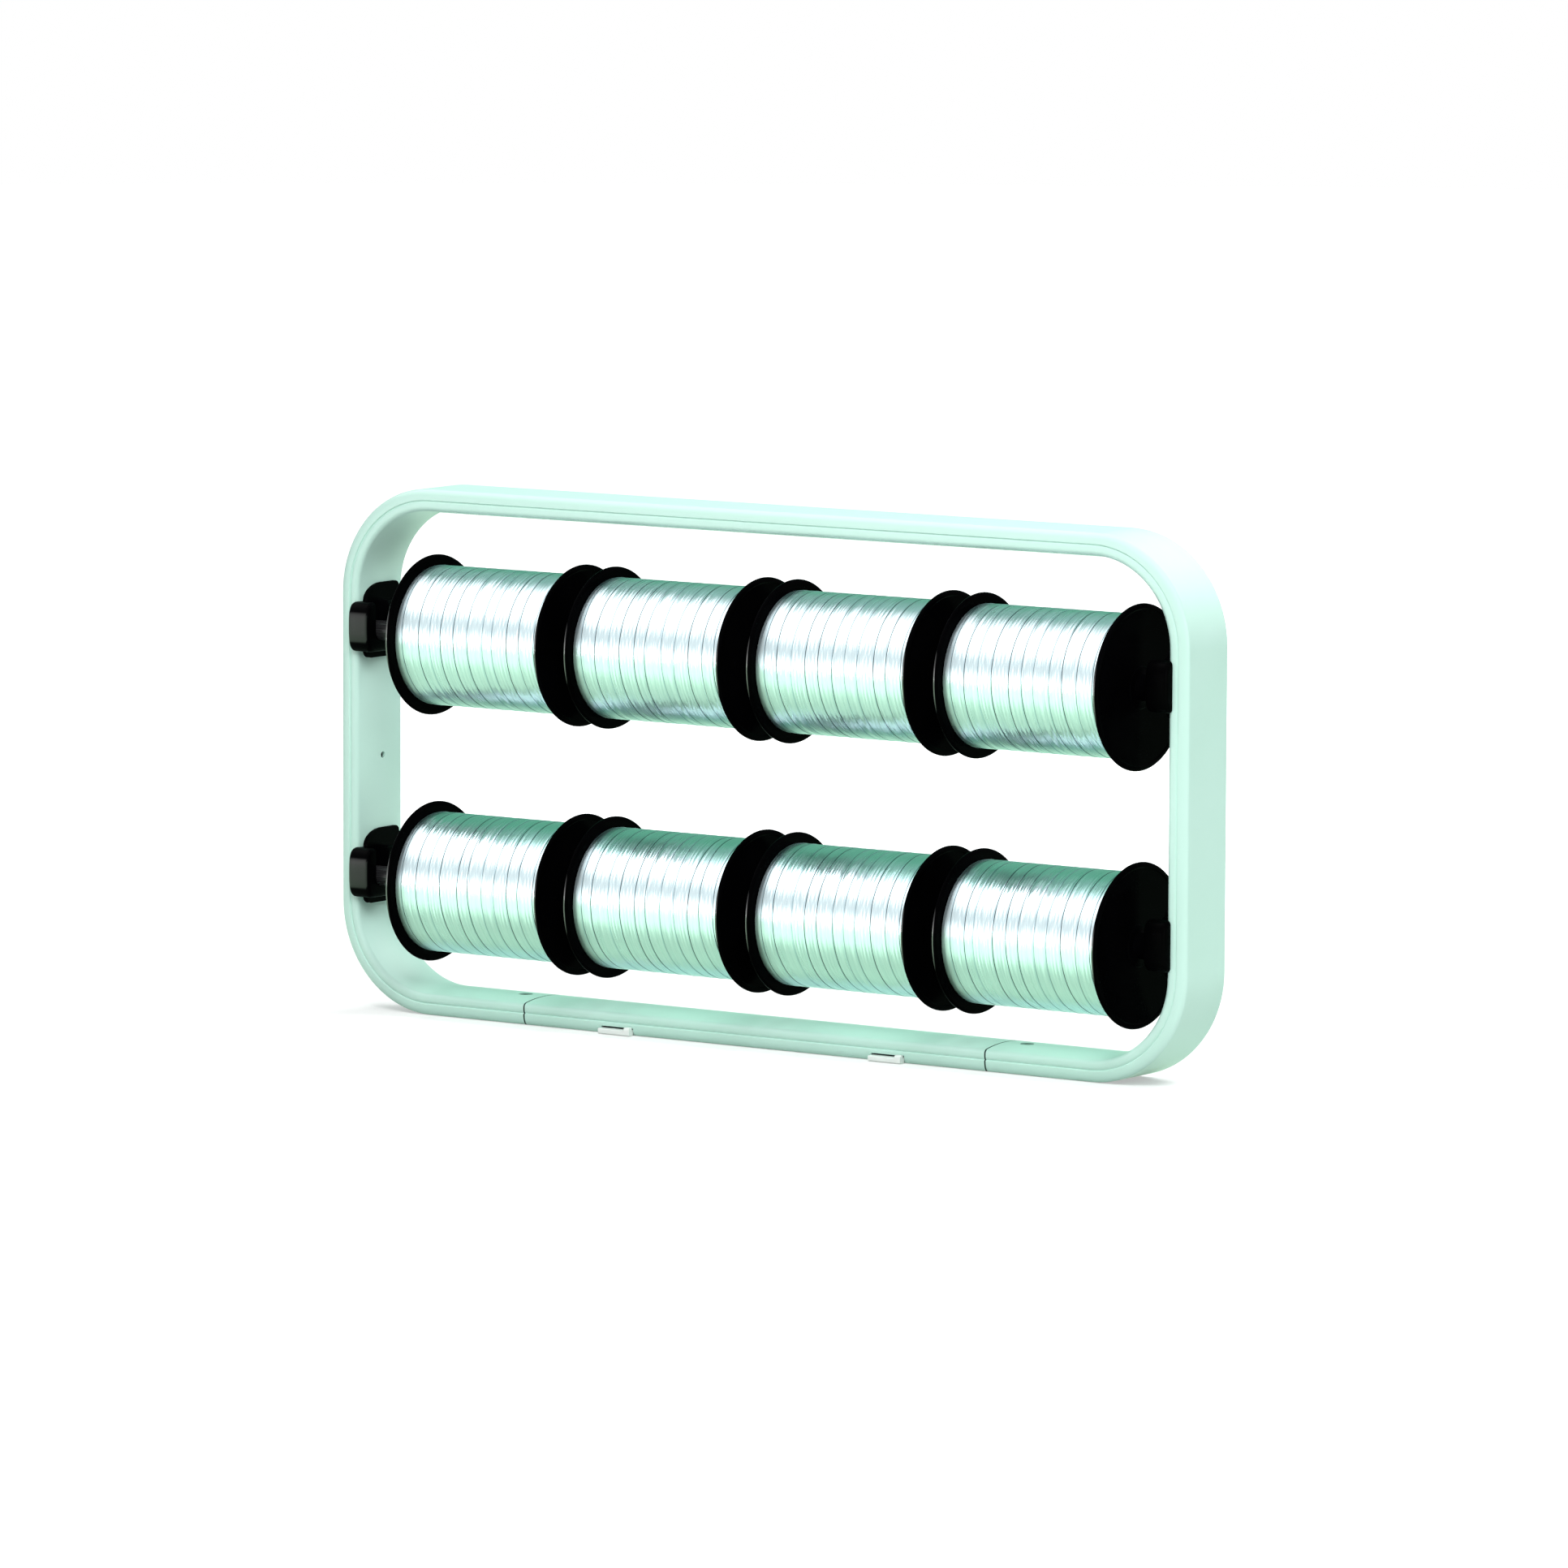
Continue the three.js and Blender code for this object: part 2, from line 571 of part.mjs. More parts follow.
function ribbonLayer() {
  const positions = [];
  for (let i = 0; i < layerRings; i += 1) {
    for (const point of layerRing(i)) {
      positions.push(point.x, point.y, point.z);
    }
  }
  const faces = [[0, 1, 2], [0, 2, 3]];
  for (let i = 0; i < layerRings - 1; i += 1) {
    const [here, next] = [i * 4, i * 4 + 4];
    for (let side = 0; side < 4; side += 1) {
      const other = (side + 1) % 4;
      faces.push([here + side, next + side, next + other]);
      faces.push([here + side, next + other, here + other]);
    }
  }
  const last = (layerRings - 1) * 4;
  faces.push([last, last + 2, last + 1], [last, last + 3, last + 2]);
  const geometry = new THREE.BufferGeometry();
  geometry.setAttribute('position', new THREE.Float32BufferAttribute(positions, 3));
  geometry.setIndex(faces.flat());
  geometry.computeVertexNormals();
  return geometry;
}

// The least distance between the edges of neighbouring turns, measured on the rings' points
function layerLeastGap() {
  let least = Infinity;
  for (let i = 0; i + STEPS_PER_TURN < layerRings; i += 1) {
    const [, rightTop, rightBottom] = layerRing(i);
    const [leftTop, , , leftBottom] = layerRing(i + STEPS_PER_TURN);
    least = Math.min(least, rightTop.distanceTo(leftTop), rightBottom.distanceTo(leftBottom));
  }
  return least;
}

console.log(`least gap between ribbon turns: ${layerLeastGap().toFixed(2)} mm`);

function rod() {
  return turnedAboutX([
    [0, -ROD_END],
    [ROD_RADIUS - ROD_CHAMFER, -ROD_END],
    [ROD_RADIUS, -ROD_END + ROD_CHAMFER],
    [ROD_RADIUS, ROD_END - ROD_CHAMFER],
    [ROD_RADIUS - ROD_CHAMFER, ROD_END],
    [0, ROD_END],
  ], REEL_SIDES);
}

for (const [row, height] of Object.entries(rodHeights)) {
  const onRod = new THREE.Group();
  onRod.position.z = height;
  rack.add(onRod);
  addPiece(`rod_${row}`, rod(), 'rod', onRod);
  for (let i = 1; i <= REELS_PER_ROD; i += 1) {
    const reel = new THREE.Group();
    reel.position.x = LAST_REEL_X - (REELS_PER_ROD - i) * REEL_PITCH;
    onRod.add(reel);
    addPiece(`reel_${row}_${i}`, reelBody(), 'blackPlastic', reel);
    addPiece(`ribbon_roll_${row}_${i}`, ribbonRoll(), 'ribbon', reel);
    addPiece(`ribbon_layer_${row}_${i}`, ribbonLayer(), 'ribbon', reel);
  }
}

export default rack;
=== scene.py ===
# %% [markdown]
# # A spool unwinding rack
# The rack is a rounded frame bent from one painted band. Two rods lie across it in hooked black
# holders, and each rod carries four flanged reels of silvery ribbon. The solids of every piece come
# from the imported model. In this lesson each of them gets its fine shape and its finish.

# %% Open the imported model
import math
import random

import bpy
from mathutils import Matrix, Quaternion, Vector


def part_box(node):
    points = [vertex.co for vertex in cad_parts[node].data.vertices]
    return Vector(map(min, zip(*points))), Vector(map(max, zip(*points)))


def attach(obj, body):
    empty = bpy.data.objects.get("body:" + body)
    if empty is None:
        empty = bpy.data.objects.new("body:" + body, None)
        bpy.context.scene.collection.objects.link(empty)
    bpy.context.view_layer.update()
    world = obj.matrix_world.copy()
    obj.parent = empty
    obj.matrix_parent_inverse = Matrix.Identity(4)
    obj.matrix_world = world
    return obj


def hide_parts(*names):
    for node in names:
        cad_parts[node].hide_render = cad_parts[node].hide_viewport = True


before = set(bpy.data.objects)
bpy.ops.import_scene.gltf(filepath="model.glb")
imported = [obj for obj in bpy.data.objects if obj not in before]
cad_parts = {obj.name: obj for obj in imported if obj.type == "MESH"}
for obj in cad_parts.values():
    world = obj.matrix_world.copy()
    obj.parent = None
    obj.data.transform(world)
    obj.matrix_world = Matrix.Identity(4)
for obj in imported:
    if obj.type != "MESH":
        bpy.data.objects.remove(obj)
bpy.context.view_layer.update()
print("packed nodes:", len(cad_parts))

# %% [markdown]
# Everything is in metres. A millimetre is handier for small sizes, so `MM` turns one into the other.
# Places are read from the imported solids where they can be, so that a piece lands where its solid is.

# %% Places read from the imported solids
MM = 0.001
ROWS = ("upper", "lower")
SIDES = {"left": -1, "right": 1}
REELS = (1, 2, 3, 4)
SEAT_GAP = 0.3 * MM


def middle_of(node):
    low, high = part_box(node)
    return (low + high) / 2


def size_of(node):
    low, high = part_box(node)
    return high - low


loop_low, loop_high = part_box("frame_loop")
HALF_WIDTH = (loop_high.x - loop_low.x) / 2
FRAME_HEIGHT = loop_high.z
BAND_HALF_DEPTH = (loop_high.y - loop_low.y) / 2
BAND_MIDDLE_Y = (loop_high.y + loop_low.y) / 2
BAND_CROWN = size_of("bottom_insert").z
ROD_Z = {row: middle_of(f"rod_{row}").z for row in ROWS}
ROD_RADIUS = size_of("rod_upper").z / 2
print("rod heights in mm:", {row: round(z / MM, 1) for row, z in ROD_Z.items()})

# %% [markdown]
# ## Camera
# The rack is seen from its right front, a little from above. The lens is long, so the far end looks
# nearly as large as the near one. The camera looks at the middle of the band frame, and a small shift
# puts that point where it belongs in the square picture. The Standard view shows colours as written.

# %% Place the camera
VIEW_AZIMUTH = math.radians(35.0)
VIEW_ELEVATION = math.radians(6.54)
VIEW_ROLL = math.radians(0.19)
VIEW_DISTANCE = 5.99
PICTURE_SIDE = 1932
PIXELS_PER_METRE = 2100.0
AIM_LEFT_OF_MIDDLE = 13.4
AIM_ABOVE_MIDDLE = 9.0

aim = Vector((0, BAND_MIDDLE_Y, FRAME_HEIGHT / 2))
back = Vector((
    math.sin(VIEW_AZIMUTH) * math.cos(VIEW_ELEVATION),
    -math.cos(VIEW_AZIMUTH) * math.cos(VIEW_ELEVATION),
    math.sin(VIEW_ELEVATION),
))
bpy.ops.object.camera_add(location=aim + back * VIEW_DISTANCE)
camera = bpy.context.object
camera.name = "picture_camera"
camera.rotation_mode = "QUATERNION"
camera.rotation_quaternion = Quaternion(back, VIEW_ROLL) @ (-back).to_track_quat("-Z", "Y")
camera.data.lens = PIXELS_PER_METRE * VIEW_DISTANCE / PICTURE_SIDE * camera.data.sensor_width
camera.data.shift_x = AIM_LEFT_OF_MIDDLE / PICTURE_SIDE
camera.data.shift_y = -AIM_ABOVE_MIDDLE / PICTURE_SIDE
camera.data.clip_end = 60
bpy.context.scene.camera = camera
bpy.context.scene.view_settings.view_transform = "Standard"
print("lens in mm:", round(camera.data.lens, 1))

# %% [markdown]
# ## Tools for making pieces
# An operator acts on all that is selected, so each helper first clears the selection and then chooses
# its one piece. A piece starts as a flat outline, which is a circle whose corners are moved to their
# places, or as a primitive, and is then extruded, spun, cut and bevelled.

# %% Choosing pieces and applying modifiers
def clear_selection():
    if bpy.context.object and bpy.context.object.mode != "OBJECT":
        bpy.ops.object.mode_set(mode="OBJECT")
    bpy.ops.object.select_all(action="DESELECT")


def choose(piece):
    clear_selection()
    piece.select_set(True)
    bpy.context.view_layer.objects.active = piece


def edit_all(piece):
    choose(piece)
    bpy.ops.object.mode_set(mode="EDIT")
    bpy.ops.mesh.select_all(action="SELECT")


def leave_edit():
    bpy.ops.object.mode_set(mode="OBJECT")


def apply_modifier(piece, kind, **settings):
    choose(piece)
    modifier = piece.modifiers.new(kind.lower(), kind)
    for key, value in settings.items():
        setattr(modifier, key, value)
    bpy.ops.object.modifier_apply(modifier=modifier.name)


def cut(piece, cutter, operation="DIFFERENCE"):
    apply_modifier(piece, "BOOLEAN", object=cutter, operation=operation, solver="EXACT")
    bpy.data.objects.remove(cutter)


# %% [markdown]
# After a spin or a sweep, neighbouring steps share places but not corners. Merging those corners and
# then recalculating the normals gives one closed skin with its faces outwards.

# %% Outlines, closing and rounding
def outline(name, places, filled=True):
    clear_selection()
    bpy.ops.mesh.primitive_circle_add(
        vertices=len(places), fill_type="NGON" if filled else "NOTHING")
    piece = bpy.context.object
    piece.name = piece.data.name = name
    for corner, place in zip(piece.data.vertices, places):
        corner.co = place
    return piece


def close_skin(piece, merge=0.002 * MM):
    edit_all(piece)
    bpy.ops.mesh.remove_doubles(threshold=merge)
    bpy.ops.mesh.normals_make_consistent(inside=False)
    leave_edit()


def extrude(x=0.0, y=0.0, z=0.0):
    bpy.ops.mesh.extrude_region_move(TRANSFORM_OT_translate={"value": (x, y, z)})


def side_view(name, view, start, length):
    """A piece with this (y, z) outline at this X, pushed this far along X."""
    piece = outline(name, [(start, y, z) for y, z in view])
    edit_all(piece)
    extrude(x=length)
    leave_edit()
    close_skin(piece)
    return piece


def round_edges(piece, width, segments=3, angle=32):
    apply_modifier(piece, "BEVEL", width=width, segments=segments, limit_method="ANGLE",
                   angle_limit=math.radians(angle), use_clamp_overlap=True)


def smooth(piece, angle=30):
    choose(piece)
    bpy.ops.object.shade_smooth_by_angle(angle=math.radians(angle))


def arc(cx, cy, radius, start, end, steps):
    angles = [math.radians(start + (end - start) * i / steps) for i in range(steps + 1)]
    return [(cx + radius * math.cos(a), cy + radius * math.sin(a)) for a in angles]


# %% Cutters and copies
def rod_cutter(radius, length, place, axis):
    """A plain round cutter that lies along X or Z."""
    clear_selection()
    rotation = (0, math.pi / 2, 0) if axis == "X" else (0, 0, 0)
    bpy.ops.mesh.primitive_cylinder_add(
        vertices=48, radius=radius, depth=length, location=place, rotation=rotation)
    return bpy.context.object


def box_cutter(low, high):
    clear_selection()
    low, high = Vector(low), Vector(high)
    bpy.ops.mesh.primitive_cube_add(size=1, location=(low + high) / 2, scale=high - low)
    return bpy.context.object


def copy_of(piece, name):
    twin = piece.copy()
    twin.data = piece.data.copy()
    twin.name = twin.data.name = name
    bpy.context.collection.objects.link(twin)
    return twin


def move(piece, x=0.0, z=0.0):
    edit_all(piece)
    bpy.ops.transform.translate(value=(x, 0, z))
    leave_edit()


def moved_copy(piece, name, x=0.0, z=0.0):
    twin = copy_of(piece, name)
    move(twin, x, z)
    return twin


def mirrored_in_x(piece, name):
    twin = copy_of(piece, name)
    edit_all(twin)
    bpy.ops.transform.mirror(constraint_axis=(True, False, False), center_override=(0, 0, 0))
    bpy.ops.mesh.normals_make_consistent(inside=False)
    leave_edit()
    return twin


def report(piece):
    print(f"{piece.name}: {len(piece.data.polygons)} faces")


# %% [markdown]
# ## The painted band
# The frame is one hollow band bent round four corners, and a short straight piece closes it at the
# bottom. Both have the same section: on each side a full outer edge, a groove and a rounded bead, and
# between the beads a crowned inner face. The section could be a bevelled curve, but then its groove
# and bead would need a second curve. Here the outline is drawn once, pushed along the straight
# parts and spun round the corners, as the real band is bent round a former.

# %% Draw the band's section, as depth and rise
EDGE_ROUND_RISE = 6.2 * MM
EDGE_ROUND_DEPTH = 3.0 * MM
LIP_RADIUS = 2.8 * MM
LIP_RISE = 10.5 * MM
CROWN_DROP = 2.0 * MM
CROWN_REACH = 20.0 * MM
BAND_WALL = 1.8 * MM
HOLLOW_ROUND = 2.0 * MM
HOLLOW_SHOULDER = 10.0 * MM
# Each point is how far in from the band's edge and how far up it is, in millimetres. The depths are
# in millimetres too.
EDGE_DETAIL = (
    (0.05, 6.5), (0.35, 6.75), (0.7, 6.95), (0.75, 7.15), (0.55, 7.4),
    (0.3, 7.8), (0.12, 8.4), (0.02, 9.1), (0.0, 9.8),
)
CROWN_DEPTHS = (18, 15.5, 13, 10, 6.5, 3)
HOLLOW_DEPTHS = (18, 12, 6)


def crown(depth):
    return BAND_CROWN - CROWN_DROP * (depth / CROWN_REACH) ** 2


def mirrored_outline(half, middle):
    return half + [(0.0, middle)] + [(-depth, rise) for depth, rise in reversed(half)]


def band_outline():
    edge = BAND_HALF_DEPTH
    half = [(edge - EDGE_ROUND_DEPTH * (1 - depth), EDGE_ROUND_RISE * (1 + rise))
            for depth, rise in arc(0, 0, 1, -90, 0, 9)]
    half += [(edge - inset * MM, rise * MM) for inset, rise in EDGE_DETAIL]
    half += arc(edge - LIP_RADIUS, LIP_RISE, LIP_RADIUS, 0, 78, 9)
    half += [(depth * MM, crown(depth * MM)) for depth in CROWN_DEPTHS]
    return mirrored_outline(half, BAND_CROWN)


def band_hollow():
    edge = BAND_HALF_DEPTH - BAND_WALL
    half = [(edge - HOLLOW_ROUND, BAND_WALL), (edge, BAND_WALL + HOLLOW_ROUND),
            (edge, HOLLOW_SHOULDER)]
    half += [(depth * MM, crown(depth * MM) - BAND_WALL) for depth in HOLLOW_DEPTHS]
    return mirrored_outline(half, BAND_CROWN - BAND_WALL)


print("section corners:", len(band_outline()), "outside,", len(band_hollow()), "inside")

# %% [markdown]
# Both outlines are joined into one object and swept together, so the wall is even everywhere. Each
# open end is then filled between the outer outline and the inner one.

# %% Sweep the section round the frame
CORNER_RADIUS = 65.0 * MM
CORNER_STEPS = 24
SEAM_X = middle_of("splice_bar_right").x
SEAM_GAP = 0.4 * MM
corner_x = HALF_WIDTH - CORNER_RADIUS
low_z, high_z = CORNER_RADIUS, FRAME_HEIGHT - CORNER_RADIUS


def section_at(x, points):
    return [(x, BAND_MIDDLE_Y + depth, rise) for depth, rise in points]


def band_outlines(name, x):
    """The outer and the inner outline at this place, joined into one object."""
    outer = outline(name, section_at(x, band_outline()), filled=False)
    inner = outline("band_inside", section_at(x, band_hollow()), filled=False)
    choose(outer)
    inner.select_set(True)
    bpy.ops.object.join()
    return outer


def sweep_round_frame(piece, start):
    edit_all(piece)
    extrude(x=corner_x - start)
    runs = (
        ((corner_x, low_z), (0, 0, high_z - low_z)),
        ((corner_x, high_z), (-2 * corner_x, 0, 0)),
        ((-corner_x, high_z), (0, 0, low_z - high_z)),
        ((-corner_x, low_z), (corner_x - start, 0, 0)),
    )
    for (x, z), run in runs:
        bpy.ops.mesh.spin(
            steps=CORNER_STEPS, angle=math.pi / 2, center=(x, 0, z), axis=(0, 1, 0))
        extrude(*run)
    leave_edit()


def select_corners(piece, test):
    """Opens edit mode with only those corners chosen whose place passes the test."""
    edit_all(piece)
    bpy.ops.mesh.select_mode(type="VERT")
    bpy.ops.mesh.select_all(action="DESELECT")
    leave_edit()
    for corner in piece.data.vertices:
        corner.select = test(corner.co)
    bpy.ops.object.mode_set(mode="EDIT")
    bpy.ops.mesh.select_mode(type="VERT")


def close_band_ends(piece, x, close):
    """Closes the open end at x and its mirror image with the given operator."""
    for end in (x, -x):
        select_corners(piece, lambda co: abs(co.x - end) < 0.01 * MM and co.z < BAND_CROWN + MM)
        close()
        leave_edit()
    close_skin(piece)


loop_start = SEAM_X + SEAM_GAP / 2
band_loop = band_outlines("bent_band", loop_start)
sweep_round_frame(band_loop, loop_start)
close_skin(band_loop)
close_band_ends(band_loop, loop_start, bpy.ops.mesh.fill)
report(band_loop)

# %% [markdown]
# The holes come after the sweep. Each seam has a screw in a round recess beside it, each holder has a
# screw hole behind it, and there is one small hole halfway up each side rail.

# %% Bore the band's holes
SPLICE_SCREW_X = abs(middle_of("splice_screw_right").x)
SPLICE_RECESS_RADIUS = 4.2 * MM
SPLICE_RECESS_DEPTH = 6 * MM
HOLE_LENGTH = 8 * MM
SIDE_HOLE_HEIGHT = 152 * MM
SIDE_HOLE_RADIUS = 2 * MM
SCREW_HOLE_RADIUS = 2.3 * MM
HOLDER_SCREW_Y = middle_of("holder_screw_upper_right").y
HOLDER_SCREW_UP = middle_of("holder_screw_upper_right").z - ROD_Z["upper"]
rail_inside = HALF_WIDTH - BAND_CROWN


def finish_band(piece):
    """Smooth shading whose large flat faces stay plain, so that the paint shows no creases."""
    smooth(piece, 28)
    apply_modifier(piece, "WEIGHTED_NORMAL", keep_sharp=True)
    report(piece)


recess_middle = BAND_CROWN - SPLICE_RECESS_DEPTH + HOLE_LENGTH / 2
for side in SIDES.values():
    recess = (side * SPLICE_SCREW_X, BAND_MIDDLE_Y, recess_middle)
    cut(band_loop, rod_cutter(SPLICE_RECESS_RADIUS, HOLE_LENGTH, recess, "Z"))
    side_hole = (side * rail_inside, BAND_MIDDLE_Y, SIDE_HOLE_HEIGHT)
    cut(band_loop, rod_cutter(SIDE_HOLE_RADIUS, HOLE_LENGTH, side_hole, "X"))
    for row in ROWS:
        screw_hole = (side * rail_inside, HOLDER_SCREW_Y, ROD_Z[row] + HOLDER_SCREW_UP)
        cut(band_loop, rod_cutter(SCREW_HOLE_RADIUS, HOLE_LENGTH, screw_hole, "X"))
finish_band(band_loop)

# %% [markdown]
# The straight piece at the bottom uses the same two outlines, pushed once from seam to seam. Two slots
# in its lower front edge take the ribbon clips.

# %% Make the straight bottom piece
CLIP_X = abs(middle_of("rail_clip_right").x)
CLIP_HALF = size_of("rail_clip_right").x / 2
CLIP_SLOT_BOTTOM, CLIP_SLOT_TOP = 0.9 * MM, 4.5 * MM
clip_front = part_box("rail_clip_right")[0].y
slot_back = BAND_MIDDLE_Y - 19.4 * MM
insert_start = -SEAM_X + SEAM_GAP / 2

bottom_band = band_outlines("straight_bottom_band", insert_start)
edit_all(bottom_band)
extrude(x=-2 * insert_start)
leave_edit()
close_band_ends(bottom_band, insert_start, bpy.ops.mesh.fill)
for side in SIDES.values():
    reach = CLIP_HALF + SEAT_GAP
    slot_low = (side * CLIP_X - reach, clip_front, CLIP_SLOT_BOTTOM)
    slot_high = (side * CLIP_X + reach, slot_back, CLIP_SLOT_TOP)
    cut(bottom_band, box_cutter(slot_low, slot_high))
finish_band(bottom_band)

# %% [markdown]
# ## Ribbon clips
# A small white clip sits in each slot of the bottom piece and leaves a narrow slit above its tongue, in
# which a loose ribbon end is pinched. The post at its right end closes the slit. The side view of the
# tongue is drawn and pushed along the band, and the post is joined to it.

# %% Make one clip and copy it
CLIP_TOP = 3.4 * MM
CLIP_CHAMFER = 0.6 * MM
TONGUE_BOTTOM = 1.2 * MM
POST_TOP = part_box("rail_clip_right")[1].z
POST_WIDTH = 4.0 * MM
band_front = BAND_MIDDLE_Y - BAND_HALF_DEPTH
tongue_end = slot_back - SEAT_GAP
post_back = band_front - SEAT_GAP

tongue_view = [
    (clip_front + CLIP_CHAMFER, 0), (band_front + MM, 0), (band_front + MM, TONGUE_BOTTOM),
    (tongue_end, TONGUE_BOTTOM), (tongue_end, CLIP_TOP), (clip_front + 0.4 * MM, CLIP_TOP),
    (clip_front, CLIP_TOP - 0.5 * MM), (clip_front, CLIP_CHAMFER),
]
post_view = [
    (clip_front + CLIP_CHAMFER, 0), (post_back, 0), (post_back, POST_TOP),
    (clip_front + MM, POST_TOP), (clip_front, POST_TOP - MM), (clip_front, CLIP_CHAMFER),
]
clip_end = CLIP_X + CLIP_HALF
clip = side_view("ribbon_clip_right", tongue_view, CLIP_X - CLIP_HALF, 2 * CLIP_HALF)
cut(clip, side_view("clip_post", post_view, clip_end - POST_WIDTH, POST_WIDTH), operation="UNION")
close_skin(clip)
round_edges(clip, 0.25 * MM, segments=2)
smooth(clip)
clips = {"right": clip, "left": moved_copy(clip, "ribbon_clip_left", x=-2 * CLIP_X)}
report(clip)

# %% [markdown]
# ## Screws
# A screw is a turned part, so half of its side view is drawn and spun about its own line. The driver
# slot in its head is cut afterwards. A splice screw stands upright in its recess, and a holder screw
# lies across the rail behind the rod's slot.

# %% Spin and slot a screw
def turned(name, profile, place, axis, steps=48):
    """Spins (radius, along) points about a line through place; a profile may start and end on it."""
    place, axis = Vector(place), Vector(axis)
    outward = axis.orthogonal().normalized()
    points = [place + axis * along + outward * radius for radius, along in profile]
    piece = outline(name, points, filled=False)
    if profile[0][0] == 0:
        ends = (points[0], points[-1])
        select_corners(piece, lambda co: any((co - end).length < 0.001 * MM for end in ends))
        bpy.ops.mesh.delete(type="EDGE")
        leave_edit()
    edit_all(piece)
    bpy.ops.mesh.spin(steps=steps, angle=math.tau, center=place, axis=axis)
    leave_edit()
    close_skin(piece)
    return piece


def screw_profile(head, height, shank, length):
    crown_points = [(head * math.cos(a), height * (0.35 + 0.65 * math.sin(a)))
                    for a in (0, 0.3, 0.6, 0.9, 1.2)]
    return [(0, -length), (shank * 0.5, -length), (shank, -length + shank * 0.6), (shank, 0),
            (head, 0), *crown_points, (0, height)]


SLOT_DEPTH = 0.9 * MM
SLOT_HALF = 0.5 * MM
SLOT_PAST_HEAD = 0.2 * MM


def screw(name, top, axis, slot_line, size):
    """A screw whose head ends at this top point, with its driver slot along this line."""
    top, axis, slot_line = Vector(top), Vector(axis), Vector(slot_line)
    seat = top - axis * size["height"]
    piece = turned(f"slotted_{name}", screw_profile(**size), seat, axis)
    reach = slot_line * (size["head"] + SLOT_PAST_HEAD) + axis.cross(slot_line) * SLOT_HALF
    spans = list(zip(top - reach - axis * SLOT_DEPTH, top + reach + axis * MM))
    cut(piece, box_cutter([min(span) for span in spans], [max(span) for span in spans]))
    close_skin(piece)
    smooth(piece, 35)
    return piece


print("driver slot in mm:", 2 * SLOT_HALF / MM, "wide and", SLOT_DEPTH / MM, "deep")

# %% Make all six screws
SPLICE_SCREW = {"head": 3.8 * MM, "height": 1.8 * MM, "shank": 1.8 * MM, "length": 8 * MM}
HOLDER_SCREW = {"head": 4.0 * MM, "height": 2.2 * MM, "shank": 2.0 * MM, "length": 9 * MM}
screws = {}
head_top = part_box("splice_screw_right")[1].z
holder_head_x = abs(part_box("holder_screw_upper_right")[0].x)
for name, side in SIDES.items():
    node, top = f"splice_screw_{name}", (side * SPLICE_SCREW_X, BAND_MIDDLE_Y, head_top)
    screws[node] = screw(node, top, (0, 0, 1), (1, 0, 0), SPLICE_SCREW)
for row in ROWS:
    for name, side in SIDES.items():
        node = f"holder_screw_{row}_{name}"
        top = (side * holder_head_x, HOLDER_SCREW_Y, ROD_Z[row] + HOLDER_SCREW_UP)
        screws[node] = screw(node, top, (-side, 0, 0), (0, 1, 0), HOLDER_SCREW)
print("screws:", len(screws), "heads from", round(head_top / MM, 2), "mm down")

# %% [markdown]
# ## Rod holders
# A holder is one black moulding. Its plate lies on the rail's inner face, and its nose hooks round the
# rail's front edge and carries the rod's end in a slot that is open at the top. Plate and nose are two
# side views pushed along the rod and joined. The space that the rail takes is cut out with the band's
# own outline, a little larger, so the holder sits on the curved face as a fitted part does.

# %% Draw the holder's two side views
PLATE_INNER_X = HALF_WIDTH - 17 * MM
NOSE_INNER_X = HALF_WIDTH - 25.4 * MM
NOSE_OUTER_X = HALF_WIDTH - 10.2 * MM
plate_front, plate_back = BAND_MIDDLE_Y - 18 * MM, BAND_MIDDLE_Y + 14 * MM
PLATE_UP, PLATE_DOWN = 28 * MM, 17 * MM
SHOULDER_DEPTH, SHOULDER_HEIGHT = 14.5 * MM, 10.5 * MM
CORNER_ROUND = 4 * MM
NOSE_FRONT, NOSE_BACK = -14.75 * MM, 14 * MM
NOSE_UP, NOSE_DOWN = 17.4 * MM, -12.7 * MM
NOSE_EDGE_ROUND, HOLDER_EDGE_ROUND = 2.4 * MM, 0.9 * MM
NOSE_BULGE, NOSE_SQUARENESS, NOSE_STEPS = 8.75 * MM, 0.62, 32


def plate_view():
    back, front = plate_back - CORNER_ROUND, plate_front + CORNER_ROUND
    foot = CORNER_ROUND - PLATE_DOWN
    shoulder = [(plate_front + SHOULDER_DEPTH * (1 - y), PLATE_UP - SHOULDER_HEIGHT * (1 - z))
                for y, z in arc(0, 0, 1, 90, 0, 14)]
    return (arc(back, PLATE_UP - CORNER_ROUND, CORNER_ROUND, 0, 90, 6)
            + shoulder
            + arc(front, foot, CORNER_ROUND, 180, 270, 6)
            + arc(back, foot, CORNER_ROUND, 270, 360, 6))


def nose_view():
    middle, half = (NOSE_UP + NOSE_DOWN) / 2, (NOSE_UP - NOSE_DOWN) / 2
    view = [(NOSE_BACK, NOSE_UP)]
    for step in range(NOSE_STEPS + 1):
        angle = math.pi / 2 + math.pi * step / NOSE_STEPS
        across = abs(math.cos(angle)) ** NOSE_SQUARENESS
        along = math.copysign(abs(math.sin(angle)) ** NOSE_SQUARENESS, math.sin(angle))
        view.append((NOSE_FRONT + NOSE_BULGE * (1 - across), middle + half * along))
    return view + [(NOSE_BACK, NOSE_DOWN)]


# %% Build the rail's space as a cutter
# The lip's space is given as depth and rise, and like the crown's depths it is in millimetres.
LIP_SPACE = ((21.9, 12.2), (21.0, 13.1))
EDGE_SPACE_RISE = 11 * MM
CROWN_SPACE_DEPTHS = (19.7, 16, 13, 10, 6.5, 3)


